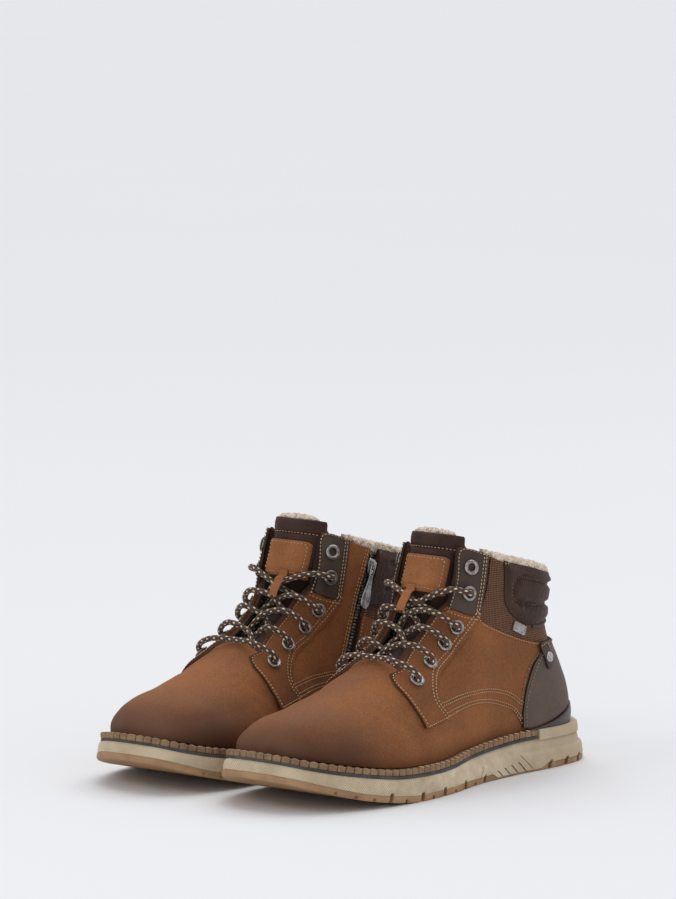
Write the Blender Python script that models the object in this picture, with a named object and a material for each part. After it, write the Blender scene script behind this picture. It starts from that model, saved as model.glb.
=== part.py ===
"""A pair of fleece-lined lace-up ankle boots with an inner zip.

Millimetres are used while modelling and turned into metres at the end.
Toes point to -Y, up is +Z.  The left boot is modelled about its own middle
(lateral side +X, inner side -X); the right boot is its mirror image.
"""
import math
import bpy
import bmesh
import numpy as np
from mathutils import Matrix, Vector

for old in list(bpy.data.objects):
    bpy.data.objects.remove(old, do_unlink=True)

# ------------------------------------------------------------------ sizes
MM = 0.001
GAP = 0.3                 # clearance between pieces that touch
PAIR_SPACING = 118.0      # middle of one boot to the middle of the other
LEATHER = 1.8             # upper leather
OVERLAY = 1.4             # leather sewn on top of the upper
STIFF = 1.0               # hidden stiffeners, zip tape, eyelet strips
FLEECE = 4.4              # fleece lining
TONGUE_PAD = 6.0          # padded tongue
GUM = 4.4                 # gum rubber outsole
LUG = 2.4                 # depth of the grooves between the lugs
ARCH_GUM = 1.4            # gum left under the arch
WELT = 3.8                # notched welt
RAND = 1.9                # grey band under the welt
BOARD = 2.2               # insole board
FOOTBED = 4.5             # fleece-topped footbed
TOE_FLARE = 2.4           # sole grows outwards towards the ground
SIDE_FLARE = 1.6
HEEL_FLARE = 6.5
EYELET_BORE = 5.6
EYELET_BARREL = 6.8
EYELET_FLANGE = 9.6
LACE = 3.9
ZIP_SLOT = 8.0            # opening between the two sides of the zip
ZIP_TAPE = 20.0
ZIP_CHAIN = 4.6
COLS = 12                 # columns of the upper on each side
ROWS = [0, 0.05, 0.12, 0.22, 0.36, 0.52, 0.68, 0.84, 1]     # heights of the rows of the upper

# plan outline of the sole: half widths (x, y), lateral then inner side
SOLE_LAT = [(-8, -153), (14, -150), (36, -135), (51, -105), (57, -66), (54, -25), (45, 15),
            (41, 60), (42, 100), (36, 132), (18, 149), (0, 153)]
SOLE_MED = [(-8, -153), (-30, -149), (-46, -131), (-53, -100), (-52, -62), (-45, -25),
            (-37, 10), (-36, 50), (-38, 90), (-34, 128), (-19, 148), (0, 153)]
# plan outline of the upper where it meets the welt
UP_LAT = [(-6, -144), (14, -141), (33, -127), (46, -100), (51, -66), (48, -25), (40, 15),
          (36, 60), (37, 96), (31, 124), (17, 139), (0, 143)]
UP_MED = [(-6, -144), (-27, -140), (-42, -125), (-48, -98), (-47, -62), (-40, -25),
          (-33, 10), (-33, 50), (-34, 88), (-30, 122), (-17, 139), (0, 143)]
# side view (y, z): tread, top of the welt, front ridge, heel line, top line
TREAD = [(-156, 21), (-148, 18.3), (-140, 15.4), (-130, 12.1), (-120, 9.3), (-110, 6.6), (-100, 4.6),
         (-90, 3.0), (-80, 1.6), (-70, 0.6), (-62, 0), (140, 0), (150, 0.6), (160, 2)]
WELT_TOP = [(-156, 39), (-148, 36.3), (-140, 33.8), (-130, 31.3), (-120, 29.2), (-110, 27.4),
            (-100, 25.7), (-90, 24.2), (-80, 22.9), (-70, 22.2), (-60, 21.8), (-45, 21.4), (-30, 21.4),
            (-15, 22.2), (0, 23.5), (30, 25.3), (60, 26.6), (86, 27), (110, 26.8), (160, 26.4)]
FRONT = [(-144, 36), (-143.5, 42), (-140, 49), (-131, 55), (-116, 59), (-100, 61.5), (-81, 66),
         (-60, 73), (-42, 82), (-24, 93), (-7, 108), (4, 124), (11, 141), (14, 153), (16, 162)]
BACK = [(143, 26), (143, 38), (139.5, 52), (132, 67), (124, 84), (121, 99), (120.5, 113),
        (122.5, 126)]
TOP = [(16, 162), (24, 155), (37, 149), (51, 142.5), (77, 135.5), (102, 129), (122.5, 126)]
# half width of the shaft (z, half width)
SHAFT_LAT = [(70, 34), (90, 33), (110, 34.5), (130, 37), (150, 38), (175, 38)]
SHAFT_MED = [(70, 33), (90, 33), (110, 34), (130, 36), (150, 37), (175, 37)]
BACK_ROUND = 40.0

# seams in the side view (y, z)
THROAT = [(21, 154), (11.5, 119.5), (5, 113), (-7, 100), (-29, 85), (-38, 79.5)]
FACING_REAR = [(40, 148.5), (31, 108.5), (5, 85), (-16, 73), (-24, 60), (-19, 50.3)]
BAND_LOW = [(-45, 45), (-30, 47), (-9, 50.8), (12, 52.6), (31, 51.5), (48, 47.5), (63, 41.5),
            (77, 28)]
TEXTILE_LOW = [(32, 105), (55, 95), (85, 85.5), (110, 84), (135, 84)]
COLLAR_FRONT = [(53, 142), (54.5, 116), (61, 107), (71, 101), (86, 96), (110, 97), (135, 97)]
COUNTER_FRONT = [(89.5, 78), (81, 70), (74, 55), (71, 40)]
CLIP_TOP = [(75, 27.5), (86, 28.2), (101, 30.5), (115, 34.5), (129, 38.6), (150, 40.5)]
ZIP_TOP = (62, 139.5)
ZIP_END = (36.5, 66)
EYELETS = [(25.5, 140.5), (22, 124), (12.3, 102.3), (0.8, 91.7), (-16.8, 81.4), (-34.8, 72)]


# --------------------------------------------------------------- curves
def spline(points, count=300):
    """A smooth curve through the points, evenly spaced along its length."""
    p = np.array(points, float)
    ext = np.vstack([2 * p[0] - p[1], p, 2 * p[-1] - p[-2]])
    out = []
    for i in range(1, len(ext) - 2):
        a, b, c, d = ext[i - 1:i + 3]
        t0 = 0.0
        t1 = t0 + np.linalg.norm(b - a) ** 0.5
        t2 = t1 + np.linalg.norm(c - b) ** 0.5
        t3 = t2 + np.linalg.norm(d - c) ** 0.5
        t = np.linspace(t1, t2, 30, endpoint=False)[:, None]
        ab = (t1 - t) / (t1 - t0) * a + (t - t0) / (t1 - t0) * b
        bc = (t2 - t) / (t2 - t1) * b + (t - t1) / (t2 - t1) * c
        cd = (t3 - t) / (t3 - t2) * c + (t - t2) / (t3 - t2) * d
        abc = (t2 - t) / (t2 - t0) * ab + (t - t0) / (t2 - t0) * bc
        bcd = (t3 - t) / (t3 - t1) * bc + (t - t1) / (t3 - t1) * cd
        out.append((t2 - t) / (t2 - t1) * abc + (t - t1) / (t2 - t1) * bcd)
    out = np.vstack(out + [p[-1:]])
    run = np.concatenate([[0], np.cumsum(np.linalg.norm(np.diff(out, axis=0), axis=1))])
    at = np.linspace(0, run[-1], count)
    return np.stack([np.interp(at, run, out[:, k]) for k in range(p.shape[1])], 1)


def ease(x, a, b):
    t = np.clip((np.asarray(x, float) - a) / (b - a), 0, 1)
    return t * t * (3 - 2 * t)


front_line, back_line, top_line = spline(FRONT), spline(BACK), spline(TOP)
up_lat, up_med = spline(UP_LAT, 900), spline(UP_MED, 900)
sole_lat, sole_med = spline(SOLE_LAT, 900), spline(SOLE_MED, 900)
tread_line, welt_line = spline(TREAD), spline(WELT_TOP)
shaft_lat, shaft_med = spline(SHAFT_LAT), spline(SHAFT_MED)


def tread(y):
    """Height of the walking face; exactly flat between the ball and the heel."""
    rise = np.maximum(np.interp(y, tread_line[:, 0], tread_line[:, 1]), 0)
    return rise * (1 - ease(y, -70, -64) * (1 - ease(y, 138, 142)))


def welt_top(y):
    return np.interp(y, welt_line[:, 0], welt_line[:, 1])


# -------------------------------------------------- outer face of the upper
def ridge(y):
    last = front_line[-1]
    z = np.interp(y, front_line[:, 0], front_line[:, 1])
    return z + np.where(y > last[0], (y - last[0]) * 3.0, 0)


def half_width(y, z, side):
    plan, shaft = (up_lat, shaft_lat) if side > 0 else (up_med, shaft_med)
    wide = np.interp(np.minimum(y, 90.0), plan[:, 1], side * plan[:, 0])
    k = ease(z, 62, 105) * ease(y, -60, 0)
    wide = wide * (1 - k) + np.interp(z, shaft[:, 0], shaft[:, 1]) * k
    low = welt_top(y)
    q = np.clip((z - low) / np.maximum(ridge(y) - low, 1e-3), 0, 1)
    arch = (1 - q ** 2.2) ** (1 / 2.1)
    bulge = 1 + 0.04 * np.sin(np.pi * np.clip(q / 0.6, 0, 1))
    back = np.clip((np.interp(z, back_line[:, 1], back_line[:, 0]) - y) / BACK_ROUND, 0, 1)
    return wide * arch * bulge * np.sqrt(np.maximum(1 - (1 - back) ** 2.2, 0))


def along(line, q):
    at = np.linspace(0, 1, len(line))
    return np.stack([np.interp(q, at, line[:, k]) for k in range(2)], -1)


def upper(u, v):
    """u: 0 front ridge, 1 lateral way to the back, -1 inner way.  v: 0 welt, 1 top line."""
    u, v = np.asarray(u, float), np.asarray(v, float)
    t = (1 - np.cos(np.pi * np.abs(u))) / 2
    y0, y1 = FRONT[0][0], BACK[0][0]
    yy = y0 + (y1 - y0) * t
    low = np.stack([yy, np.where(t <= 0, FRONT[0][1], welt_top(yy))], -1)
    t_, v_ = t[..., None], v[..., None]
    c00, c10 = np.array([y0, welt_top(y0)]), np.array([y1, welt_top(y1)])
    side = ((1 - v_) * low + v_ * along(top_line, t) + (1 - t_) * along(front_line, v)
            + t_ * along(back_line, v)
            - ((1 - t_) * (1 - v_) * c00 + t_ * (1 - v_) * c10
               + (1 - t_) * v_ * top_line[0] + t_ * v_ * top_line[-1]))
    y, z = side[..., 0], side[..., 1]
    w = np.where(u >= 0, half_width(y, z, 1), -half_width(y, z, -1))
    return np.stack([np.where((t <= 0) | (t >= 1), 0, w), y, z], -1)


# the shared net of points all layers of the upper are built on
net_u = np.linspace(-1, 1, 2 * COLS + 1)[:-1]
net_v = np.array(ROWS)
NET = upper(*np.meshgrid(net_u, net_v))


def net_normals():
    du = np.roll(NET, -1, axis=1) - np.roll(NET, 1, axis=1)
    dv = np.gradient(NET, axis=0)
    n = np.cross(du, dv)
    n /= np.linalg.norm(n, axis=2)[..., None]
    n[0, :, 2] = 0
    n[0] /= np.linalg.norm(n[0], axis=1)[:, None]
    return n


NORMAL = net_normals()


def layer(offset, rise=0.0, drop=0.0):
    """The net moved along its normals; rise adds a row above, drop lowers the first row."""
    p = NET + NORMAL * offset
    p[0, :, 2] = welt_top(NET[0, :, 1]) + GAP - drop
    if rise:
        up = p[-1] - p[-2]
        up /= np.linalg.norm(up, axis=1)[:, None]
        p = np.concatenate([p, (p[-1] + up * rise)[None]])
    return p


# ------------------------------------------------------------ mesh helpers
boots = bpy.data.collections.new("fleece_lined_boots")
cutters = bpy.data.collections.new("cutters")
bpy.context.scene.collection.children.link(boots)
bpy.context.scene.collection.children.link(cutters)


def mesh_object(name, verts, faces, where=None):
    mesh = bpy.data.meshes.new(name)
    mesh.from_pydata([tuple(float(c) for c in v) for v in verts], [], faces)
    bm = bmesh.new()
    bm.from_mesh(mesh)
    bmesh.ops.remove_doubles(bm, verts=bm.verts, dist=0.001)
    bmesh.ops.recalc_face_normals(bm, faces=bm.faces)
    bm.to_mesh(mesh)
    bm.free()
    obj = bpy.data.objects.new(name, mesh)
    (where or boots).objects.link(obj)
    if where is cutters:
        obj.hide_render = True
        obj.display_type = 'WIRE'
    return obj


def shell(name, inner, outer, where=None):
    """Closed wall between two nets that run all the way round the boot."""
    rows, cols = inner.shape[:2]
    verts = np.concatenate([inner.reshape(-1, 3), outer.reshape(-1, 3)])
    n = rows * cols
    at = lambda face, r, c: face * n + r * cols + c % cols
    faces = []
    for c in range(cols):
        for r in range(rows - 1):
            a, b, d, e = (r, c), (r, c + 1), (r + 1, c + 1), (r + 1, c)
            halves = ((a, b, d), (a, d, e)) if c >= cols // 2 else ((a, b, e), (b, d, e))
            for tri in halves:          # same split on both faces, mirrored left to right
                faces.append(tuple(at(1, *q) for q in tri))
                faces.append(tuple(at(0, *q) for q in reversed(tri)))
        for r in (0, rows - 1):
            faces.append((at(0, r, c), at(0, r, c + 1), at(1, r, c + 1), at(1, r, c)))
    return mesh_object(name, verts, faces, where)


def block(name, grid, where=None):
    """Closed solid from a grid of sections: grid[i][j] with the rings j closed."""
    grid = np.asarray(grid, float)
    rings, count = grid.shape[:2]
    faces = []
    for i in range(rings - 1):
        for j in range(count):
            k = (j + 1) % count
            faces.append((i * count + j, i * count + k, (i + 1) * count + k, (i + 1) * count + j))
    faces.append(tuple(range(count)))
    faces.append(tuple((rings - 1) * count + j for j in reversed(range(count))))
    return mesh_object(name, grid.reshape(-1, 3), faces, where)


def inset(poly, d):
    """Shrink a side-view polygon by d."""
    p = np.array(poly, float)
    area = 0.5 * np.sum(p[:, 0] * np.roll(p[:, 1], -1) - np.roll(p[:, 0], -1) * p[:, 1])
    if area < 0:
        p = p[::-1]
    out = []
    for i in range(len(p)):
        a, b, c = p[i - 1], p[i], p[(i + 1) % len(p)]
        e, f = (b - a) / np.linalg.norm(b - a), (c - b) / np.linalg.norm(c - b)
        n, m = np.array([-e[1], e[0]]), np.array([-f[1], f[0]])
        s = n + m
        out.append(b + s / np.linalg.norm(s) * d / max(math.sqrt((1 + n @ m) / 2), 0.4))
    return out


def prism(name, poly, x0, x1, shrink=0.2):
    """Cutter: a side-view polygon pulled out along X."""
    pts = inset(poly, shrink)
    return block(name, [[(x, y, z) for y, z in pts] for x in (x0, x1)], cutters)


def combine(obj, other, how='INTERSECT', keep=False):
    mod = obj.modifiers.new(how.lower(), 'BOOLEAN')
    mod.operation, mod.solver, mod.object = how, 'EXACT', other
    deps = bpy.context.evaluated_depsgraph_get()
    mesh = bpy.data.meshes.new_from_object(obj.evaluated_get(deps))
    obj.modifiers.remove(mod)
    obj.data = mesh
    if not keep:
        bpy.data.objects.remove(other, do_unlink=True)
    bm = bmesh.new()
    bm.from_mesh(mesh)
    bmesh.ops.remove_doubles(bm, verts=bm.verts, dist=0.002)
    bm.to_mesh(mesh)
    bm.free()
    return obj


LAT, MED, BOTH = (0.15, 90.0), (-90.0, -0.15), (-90.0, 90.0)


def panel(name, poly, span, inside, outside, rise=0.0, poly_med=None):
    """Piece of a layer between two offsets, cut to a side-view outline."""
    obj = shell(name, layer(inside, rise), layer(outside, rise))
    if poly_med is None:
        return combine(obj, prism(name + "_cut", poly, *span))
    cut = prism(name + "_cut", poly, 0.0, 90.0)
    combine(cut, prism(name + "_cut2", poly_med, -90.0, 0.4), 'UNION')
    return combine(obj, cut)


# ------------------------------------------------------------------- soles
def outline(grow_toe, grow_side, grow_heel, lat=sole_lat, med=sole_med, count=18):
    """Plan outline grown by three amounts: list of (x, y), toe tip first, lateral side first."""
    y_min, y_max = lat[0, 1], lat[-1, 1]
    ys = (y_min + y_max) / 2 - (y_max - y_min) / 2 * np.cos(np.linspace(0, math.pi, count + 1))
    out = []
    for plan, side in ((lat, 1), (med, -1)):
        w = np.interp(ys, plan[:, 1], plan[:, 0])
        mid = np.interp(ys, [y_min, y_max], [plan[0, 0], plan[-1, 0]])
        reach = np.abs(w - mid)
        scale = (reach + grow_side) / np.maximum(reach, 1.0)
        x = mid + (w - mid) * np.where(reach > 1, scale, 1)
        y = ys + np.where(ys < 0, -grow_toe, grow_heel) * ease(np.abs(ys), 95, 150)
        out.append(np.stack([x, y], 1))
    latp, medp = out
    return np.concatenate([latp, medp[1:-1][::-1]]), len(latp)


def slab(name, rings):
    """Solid from stacked rings: each ring is (outline, height function)."""
    levels, n_lat = [], None
    for (pts, count), height in rings:
        n_lat = count
        levels.append(np.column_stack([pts, height(pts[:, 1])]))
    n = len(levels[0])
    verts = np.concatenate(levels)
    faces = []
    for k in range(len(levels) - 1):
        for j in range(n):
            m = (j + 1) % n
            faces.append((k * n + j, k * n + m, (k + 1) * n + m, (k + 1) * n + j))
    med = [0] + list(range(n - 1, n_lat - 1, -1)) + [n_lat - 1]
    for base in (0, (len(levels) - 1) * n):
        for j in range(n_lat - 1):
            quad = [j, j + 1, med[j + 1], med[j]]
            face = tuple(base + q for q in dict.fromkeys(quad))
            if len(face) > 2:
                faces.append(face)
    return mesh_object(name, verts, faces)


def stack_height(level):
    """Heights in the sole stack, named by the piece they close."""
    return {
        'tread': lambda y: tread(y),
        'gum': lambda y: tread(y) + GUM 
        - (GUM - ARCH_GUM) * ease(y, 30, 36) * (1 - ease(y, 84, 90)),
        'mid': lambda y: welt_top(y) - WELT - GAP - RAND - GAP,
        'rand': lambda y: welt_top(y) - WELT - GAP,
        'welt': lambda y: welt_top(y),
    }[level]


def above(level, more):
    return lambda y: stack_height(level)(y) + more


def flare(k):
    """Outline of the sole at height k (0 ground, 1 top of the cream midsole)."""
    return outline(TOE_FLARE * (1 - k), SIDE_FLARE * (1 - k), HEEL_FLARE * (1 - k))


def grooves(count, y0, y1, name):
    """Cross grooves between the lugs, set out evenly."""
    for i in range(count):
        y = y0 + (y1 - y0) * i / (count - 1)
        z = float(tread(y))
        corners = [(y - 1.7, z - 3), (y + 1.7, z - 3), (y + 1.1, z + LUG), (y - 1.1, z + LUG)]
        yield prism("%s_%d" % (name, i), corners, -90, 90, 0.0)


def build_sole():
    outsole = slab("outsole", [(flare(0.0), above('tread', 0.0)), (flare(0.14), above('gum', 0.0))])
    for cut in list(grooves(9, -112, 22, "groove")) + list(grooves(4, 100, 142, "heel_groove")):
        combine(outsole, cut, 'DIFFERENCE')
    slab("midsole", [(flare(0.15), above('gum', GAP)), (flare(0.6), lambda y:
         0.5 * (stack_height('gum')(y) + stack_height('mid')(y))), (flare(1.0), above('mid', 0.0))])
    slab("rand", [(outline(-0.6, -0.8, -0.8), above('mid', GAP)),
                  (outline(-0.8, -1.0, -1.0), above('rand', 0.0))])
    welt = slab("welt", [(outline(-0.4, -0.6, -0.6), above('rand', GAP)),
                         (outline(-1.0, -1.4, -1.4), above('welt', 0.0))])
    return outsole, welt


def build_insole():
    board = lambda grow: outline(grow, grow, grow, up_lat, up_med, 14)
    low = lambda more: (lambda y: welt_top(y) + more)
    slab("insole_board", [(board(-9.4), low(GAP)), (board(-9.4), low(GAP + BOARD))])
    top = 2 * GAP + BOARD
    slab("footbed", [(board(-11.6), low(top)), (board(-12.2), low(top + FOOTBED))])


# ------------------------------------------------------------------- upper

def closed(*parts):
    out = []
    for part in parts:
        for p in part:
            if not out or math.dist(out[-1], p) > 0.05:
                out.append(p)
    return out


zip_dir = np.array(ZIP_END, float) - np.array(ZIP_TOP, float)
ZIP_LENGTH = float(np.linalg.norm(zip_dir))
zip_dir /= ZIP_LENGTH
zip_side = np.array([-zip_dir[1], zip_dir[0]])      # towards the heel


def beside_zip(step, more_top=30.0, more_end=0.0):
    """Line parallel to the zip, top to bottom; positive steps lie nearer the heel."""
    a = np.array(ZIP_TOP) + zip_side * step - zip_dir * more_top
    b = np.array(ZIP_END) + zip_side * step + zip_dir * more_end
    return [tuple(a), tuple(b)]


def build_upper():
    skin = (-LEATHER, 0.0)
    # vamp: toe and the low side wings below the curved band
    vamp_edge = [(-34, 110), (-38, 79), (-41, 62), (-45, 45)]
    panel("vamp", closed([(-170, 5), (-170, 110)], vamp_edge, BAND_LOW, [(77, 5)]), BOTH, *skin)
    # lateral quarter
    front = [(21, 154)] + THROAT[1:]
    quarter_front = closed(front, [(-38, 79), (-41, 62), (-45, 45)], BAND_LOW, [(77, 5), (150, 5)])
    lateral = closed(quarter_front, [(150, 84)], TEXTILE_LOW[::-1], [(41, 149.4)])
    panel("quarter_lateral", lateral, LAT, *skin)
    rear = np.array(beside_zip(ZIP_SLOT / 2, 8.0))
    at = lambda z: tuple(rear[1] + (rear[0] - rear[1]) * (z - rear[1, 1]) / (rear[0, 1] - rear[1, 1]))
    inner = closed(quarter_front, [(150, 84)], [(110, 84), (85, 85.5), at(93.5), at(146.0),
                                                (59.5, 143.5), (41, 149.4)])
    medial = panel("quarter_medial", inner, MED, *skin)
    opening = closed(beside_zip(-ZIP_SLOT / 2), beside_zip(ZIP_SLOT / 2 + 0.6)[::-1])
    combine(medial, prism("slot", opening, -90, 10, 0.0), 'DIFFERENCE')
    lat_textile = closed([(41, 149.4), (41, 170), (53, 170)], COLLAR_FRONT, TEXTILE_LOW[::-1])
    panel("textile_lateral", lat_textile, (0.2, 90.0), *skin)
    med_textile = closed([at(103.0)], [(71, 101), (86, 96), (110, 97), (135, 97)],
                         [(135, 84), (110, 84), (85, 85.5)], [at(93.5)])
    panel("textile_medial", med_textile, (-90.0, -0.2), *skin)
    collar_lat = closed([(53, 170)], COLLAR_FRONT, [(150, 170)])
    collar_med = closed([at(175.0), at(103.0)], [(71, 101), (86, 96), (110, 97), (135, 97)],
                        [(150, 97), (150, 175)])
    panel("collar", collar_lat, BOTH, -LEATHER, 1.6, 1.5, collar_med)


def build_overlays():
    sewn = (GAP, GAP + OVERLAY)
    for side, span in (("lateral", LAT), ("medial", MED)):
        facing = closed([(5, 113), (-7, 100), (-29, 85), (-38, 79.5), (-46, 77), (-50, 71), (-49, 60),
                         (-45, 45)], [(-30, 47.3), (-19, 49.4)], FACING_REAR[::-1][1:-1],
                        [(29, 107), (18, 110)])
        panel("facing_" + side, facing, span, *sewn)
        tab = closed([(21, 154), (11.5, 119.5), (9, 114), (19, 111), (30.5, 108)], [(31, 108.5), (40, 149)])
        panel("ankle_tab_" + side, tab, span, *sewn)
    counter = closed(COUNTER_FRONT, [(71.5, 29.5)], [(x, z + 1.2) for x, z in CLIP_TOP[1:]],
                     [(150, 84), (91, 84)])
    panel("counter_cover", counter, BOTH, *sewn)
    clip = closed(CLIP_TOP, [(160, 40.5), (160, 5), (75, 5)])
    panel("heel_clip", clip, BOTH, GAP, GAP + 2.6)
    strap = [(88, 83), (96, 84), (102, 79), (103.5, 70), (100, 65), (95.5, 66), (94, 73)]
    panel("heel_strap", strap, LAT, 2 * GAP + OVERLAY, 2 * GAP + 2 * OVERLAY)


def build_inner():
    hidden = (-LEATHER - GAP - STIFF, -LEATHER - GAP)
    panel("toe_puff", [(-170, 5), (-170, 110), (-104, 110), (-98, 40), (-96, 5)], BOTH, *hidden)
    panel("heel_stiffener", [(86, 5), (84, 50), (94, 76), (150, 80), (160, 5)], BOTH, *hidden)
    deep = -LEATHER - 2 * GAP - STIFF
    edge = [(y + 1.0, z - 2.0) for y, z in FACING_REAR[:4]]
    lining = closed([(46, 200)], edge, [(-36, 62), (-50, 80), (-64, 130), (-170, 130), (-170, 5),
                                        (170, 5), (170, 200)])
    panel("lining", lining, BOTH, deep - FLEECE, deep, 4.5)


def surface_point(y, z, side=1):
    """Point of the outer face and its normal at a side-view place."""
    e = 0.5
    x = lambda a, b: side * float(half_width(np.array(a), np.array(b), side))
    p = np.array([x(y, z), y, z])
    n = np.cross([x(y + e, z) - p[0], e, 0], [x(y, z + e) - p[0], 0, e])
    n = n / np.linalg.norm(n)
    return p, n * side


def tube(name, centre, axis, rings, sides=10, where=None):
    """Round solid about an axis: rings of (radius, distance along the axis)."""
    axis = Vector(axis).normalized()
    turn = axis.to_track_quat('Z', 'Y').to_matrix()
    grid = []
    for radius, dist in rings:
        ring = []
        for k in range(sides):
            a = 2 * math.pi * (k + 0.5) / sides
            off = turn @ Vector((radius * math.cos(a), radius * math.sin(a), dist))
            ring.append([centre[i] + off[i] for i in range(3)])
        grid.append(ring)
    return block(name, grid, where)


def drill(names, centre, axis, radius, reach=12.0):
    for name in names:
        cut = tube("drill", centre, axis, [(radius, -reach), (radius, reach)], 8, cutters)
        combine(bpy.data.objects[name], cut, 'DIFFERENCE')


FLANGE_FOOT = GAP + OVERLAY + 1.8                # flanges stand clear of the curved leather


def build_eyelets():
    """Eyelet strips behind the facings, each carrying its six eyelets."""
    stay = closed([(y + 0.6, z) for y, z in [(22, 152), (12.5, 119.5), (5, 111.5), (-7, 99),
                                             (-29, 83.5), (-41, 76)]],
                  [(-42, 66), (-25, 64), (-13, 71.5), (6, 83), (29, 104), (38, 147)])
    for side, span, sign in (("lateral", LAT, 1), ("medial", MED, -1)):
        strip = panel("eyelet_strip_" + side, stay, span, -LEATHER - GAP - STIFF, -LEATHER - GAP)
        for i, (y, z) in enumerate(EYELETS):
            p, n = surface_point(y, z, sign)
            over = ["ankle_tab_" + side] if i < 2 else ["facing_" + side]
            drill(over + ["quarter_" + side], p, n, EYELET_BARREL / 2 + GAP)
            flange = FLANGE_FOOT
            ring = tube("eyelet", p, n, [(EYELET_BARREL / 2, -LEATHER - GAP - STIFF - 0.5),
                                         (EYELET_BARREL / 2, flange), (EYELET_FLANGE / 2, flange),
                                         (EYELET_FLANGE / 2 - 0.6, flange + 1.0)], 8)
            combine(strip, ring, 'UNION')
        for i, (y, z) in enumerate(EYELETS):
            p, n = surface_point(y, z, sign)
            drill(["eyelet_strip_" + side], p, n, EYELET_BORE / 2)


# ------------------------------------------------------------------ tongue
TONGUE_HALF = 22.5
TONGUE_FOOT, TONGUE_HEAD = -45.0, 15.9      # front-line places (y) where it starts and ends
PATCH_LOW, PATCH_HIGH = 125.5, 148.0
PATCH_HALF = 17.7
LOOP_WIDTH = 7.0
throat_line = front_line[(front_line[:, 1] > 60) & (front_line[:, 0] > -60)]


def throat_at(y):
    """Front-line point and the direction that points into the boot."""
    i = int(np.clip(np.searchsorted(throat_line[:, 0], y), 2, len(throat_line) - 3))
    d = throat_line[i + 2] - throat_line[i - 2]
    d = d / np.linalg.norm(d)
    return throat_line[i], np.array([d[1], -d[0]]), d


def tongue_depth(x, z):
    """How far the tongue's face lies behind the front line."""
    up = ease(z, 119, 130)
    return 9.6 - 9.1 * up + 12.5 * (np.abs(x) / (15.8 + 4.7 * up)) ** (2.5 + 1.5 * up)


def tongue_point(x, y, more=0.0):
    base, inward, _ = throat_at(y)
    q = base + inward * (tongue_depth(x, base[1]) + more)
    return [x, q[0], q[1]]


def y_at_height(z):
    return float(np.interp(z, throat_line[:, 1], throat_line[:, 0]))


def build_tongue():
    stations = [TONGUE_FOOT, -36, -27, -18, -8, 0, 5, y_at_height(132), y_at_height(142),
                y_at_height(152), TONGUE_HEAD]
    grid = []
    for k, y in enumerate(stations):
        half = TONGUE_HALF * (0.72 + 0.16 * float(ease(y, -45, -15)) + 0.12 * float(ease(y, 5, 11)))
        if k == len(stations) - 1:
            half *= 0.9
        xs = half * np.sin(np.linspace(-1, 1, 9) * math.pi / 2)
        face = [tongue_point(x, y) for x in xs]
        thin = [TONGUE_PAD * (0.55 + 0.45 * math.cos(x / half * math.pi / 2)) for x in xs]
        rear = [tongue_point(x, y, t) for x, t in zip(xs, thin)]
        grid.append(face + rear[::-1])
    block("tongue", grid)


def build_patch():
    rows = [PATCH_LOW, PATCH_LOW + 2, PATCH_LOW + 4.5, 136.0, 142.0, PATCH_HIGH]
    grid = []
    for z in rows:
        y = y_at_height(z)
        xs = np.linspace(-PATCH_HALF, PATCH_HALF, 9)
        grid.append([tongue_point(x, y, -GAP - 2.0) for x in xs]
                    + [tongue_point(x, y, -GAP - 0.8) for x in xs[::-1]])
    patch = block("tongue_patch", grid)
    # lace loop: a strap that leaves the low edge of the patch and hooks over the lace
    route = [(PATCH_LOW + 2.0, -1.75), (PATCH_LOW - 1.0, -4.6), (122.5, -11.8), (117, -13.3),
             (113.4, -13.4), (111.0, -12.8)]
    line = []
    for z, more in route:
        line.append(np.array(tongue_point(0.0, y_at_height(z), more)[1:]))
    grid = []
    for i, q in enumerate(line):
        d = line[min(i + 1, len(line) - 1)] - line[max(i - 1, 0)]
        n = np.array([-d[1], d[0]]) / np.linalg.norm(d) * 0.45
        xs = (-4.0 - LOOP_WIDTH / 2, -4.0 + LOOP_WIDTH / 2)
        grid.append([(xs[0], *(q + n)), (xs[1], *(q + n)), (xs[1], *(q - n)), (xs[0], *(q - n))])
    combine(patch, block("loop", grid, cutters), 'UNION')


# -------------------------------------------------------------------- lace
def throat_edge(i, side, forward=3.0):
    """Place on the throat edge level with eyelet i, with its normal and the way out of it."""
    line = spline([(q[0] - 0.4, q[1] + 0.4) for q in THROAT] + [(-44, 77)], 200)
    y, z = EYELETS[i]
    k = int(np.argmin(np.hypot(line[:, 0] - y, line[:, 1] - z)))
    run = np.hypot(*(line[:-1] - line[1:]).T)
    while forward > 0 and k > 0:
        k -= 1
        forward -= run[k]
    edge, n = surface_point(line[k, 0], line[k, 1], side)
    hole, _ = surface_point(y, z, side)
    out = edge - hole
    out -= n * (out @ n)
    return edge, n, out / np.linalg.norm(out)


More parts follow.
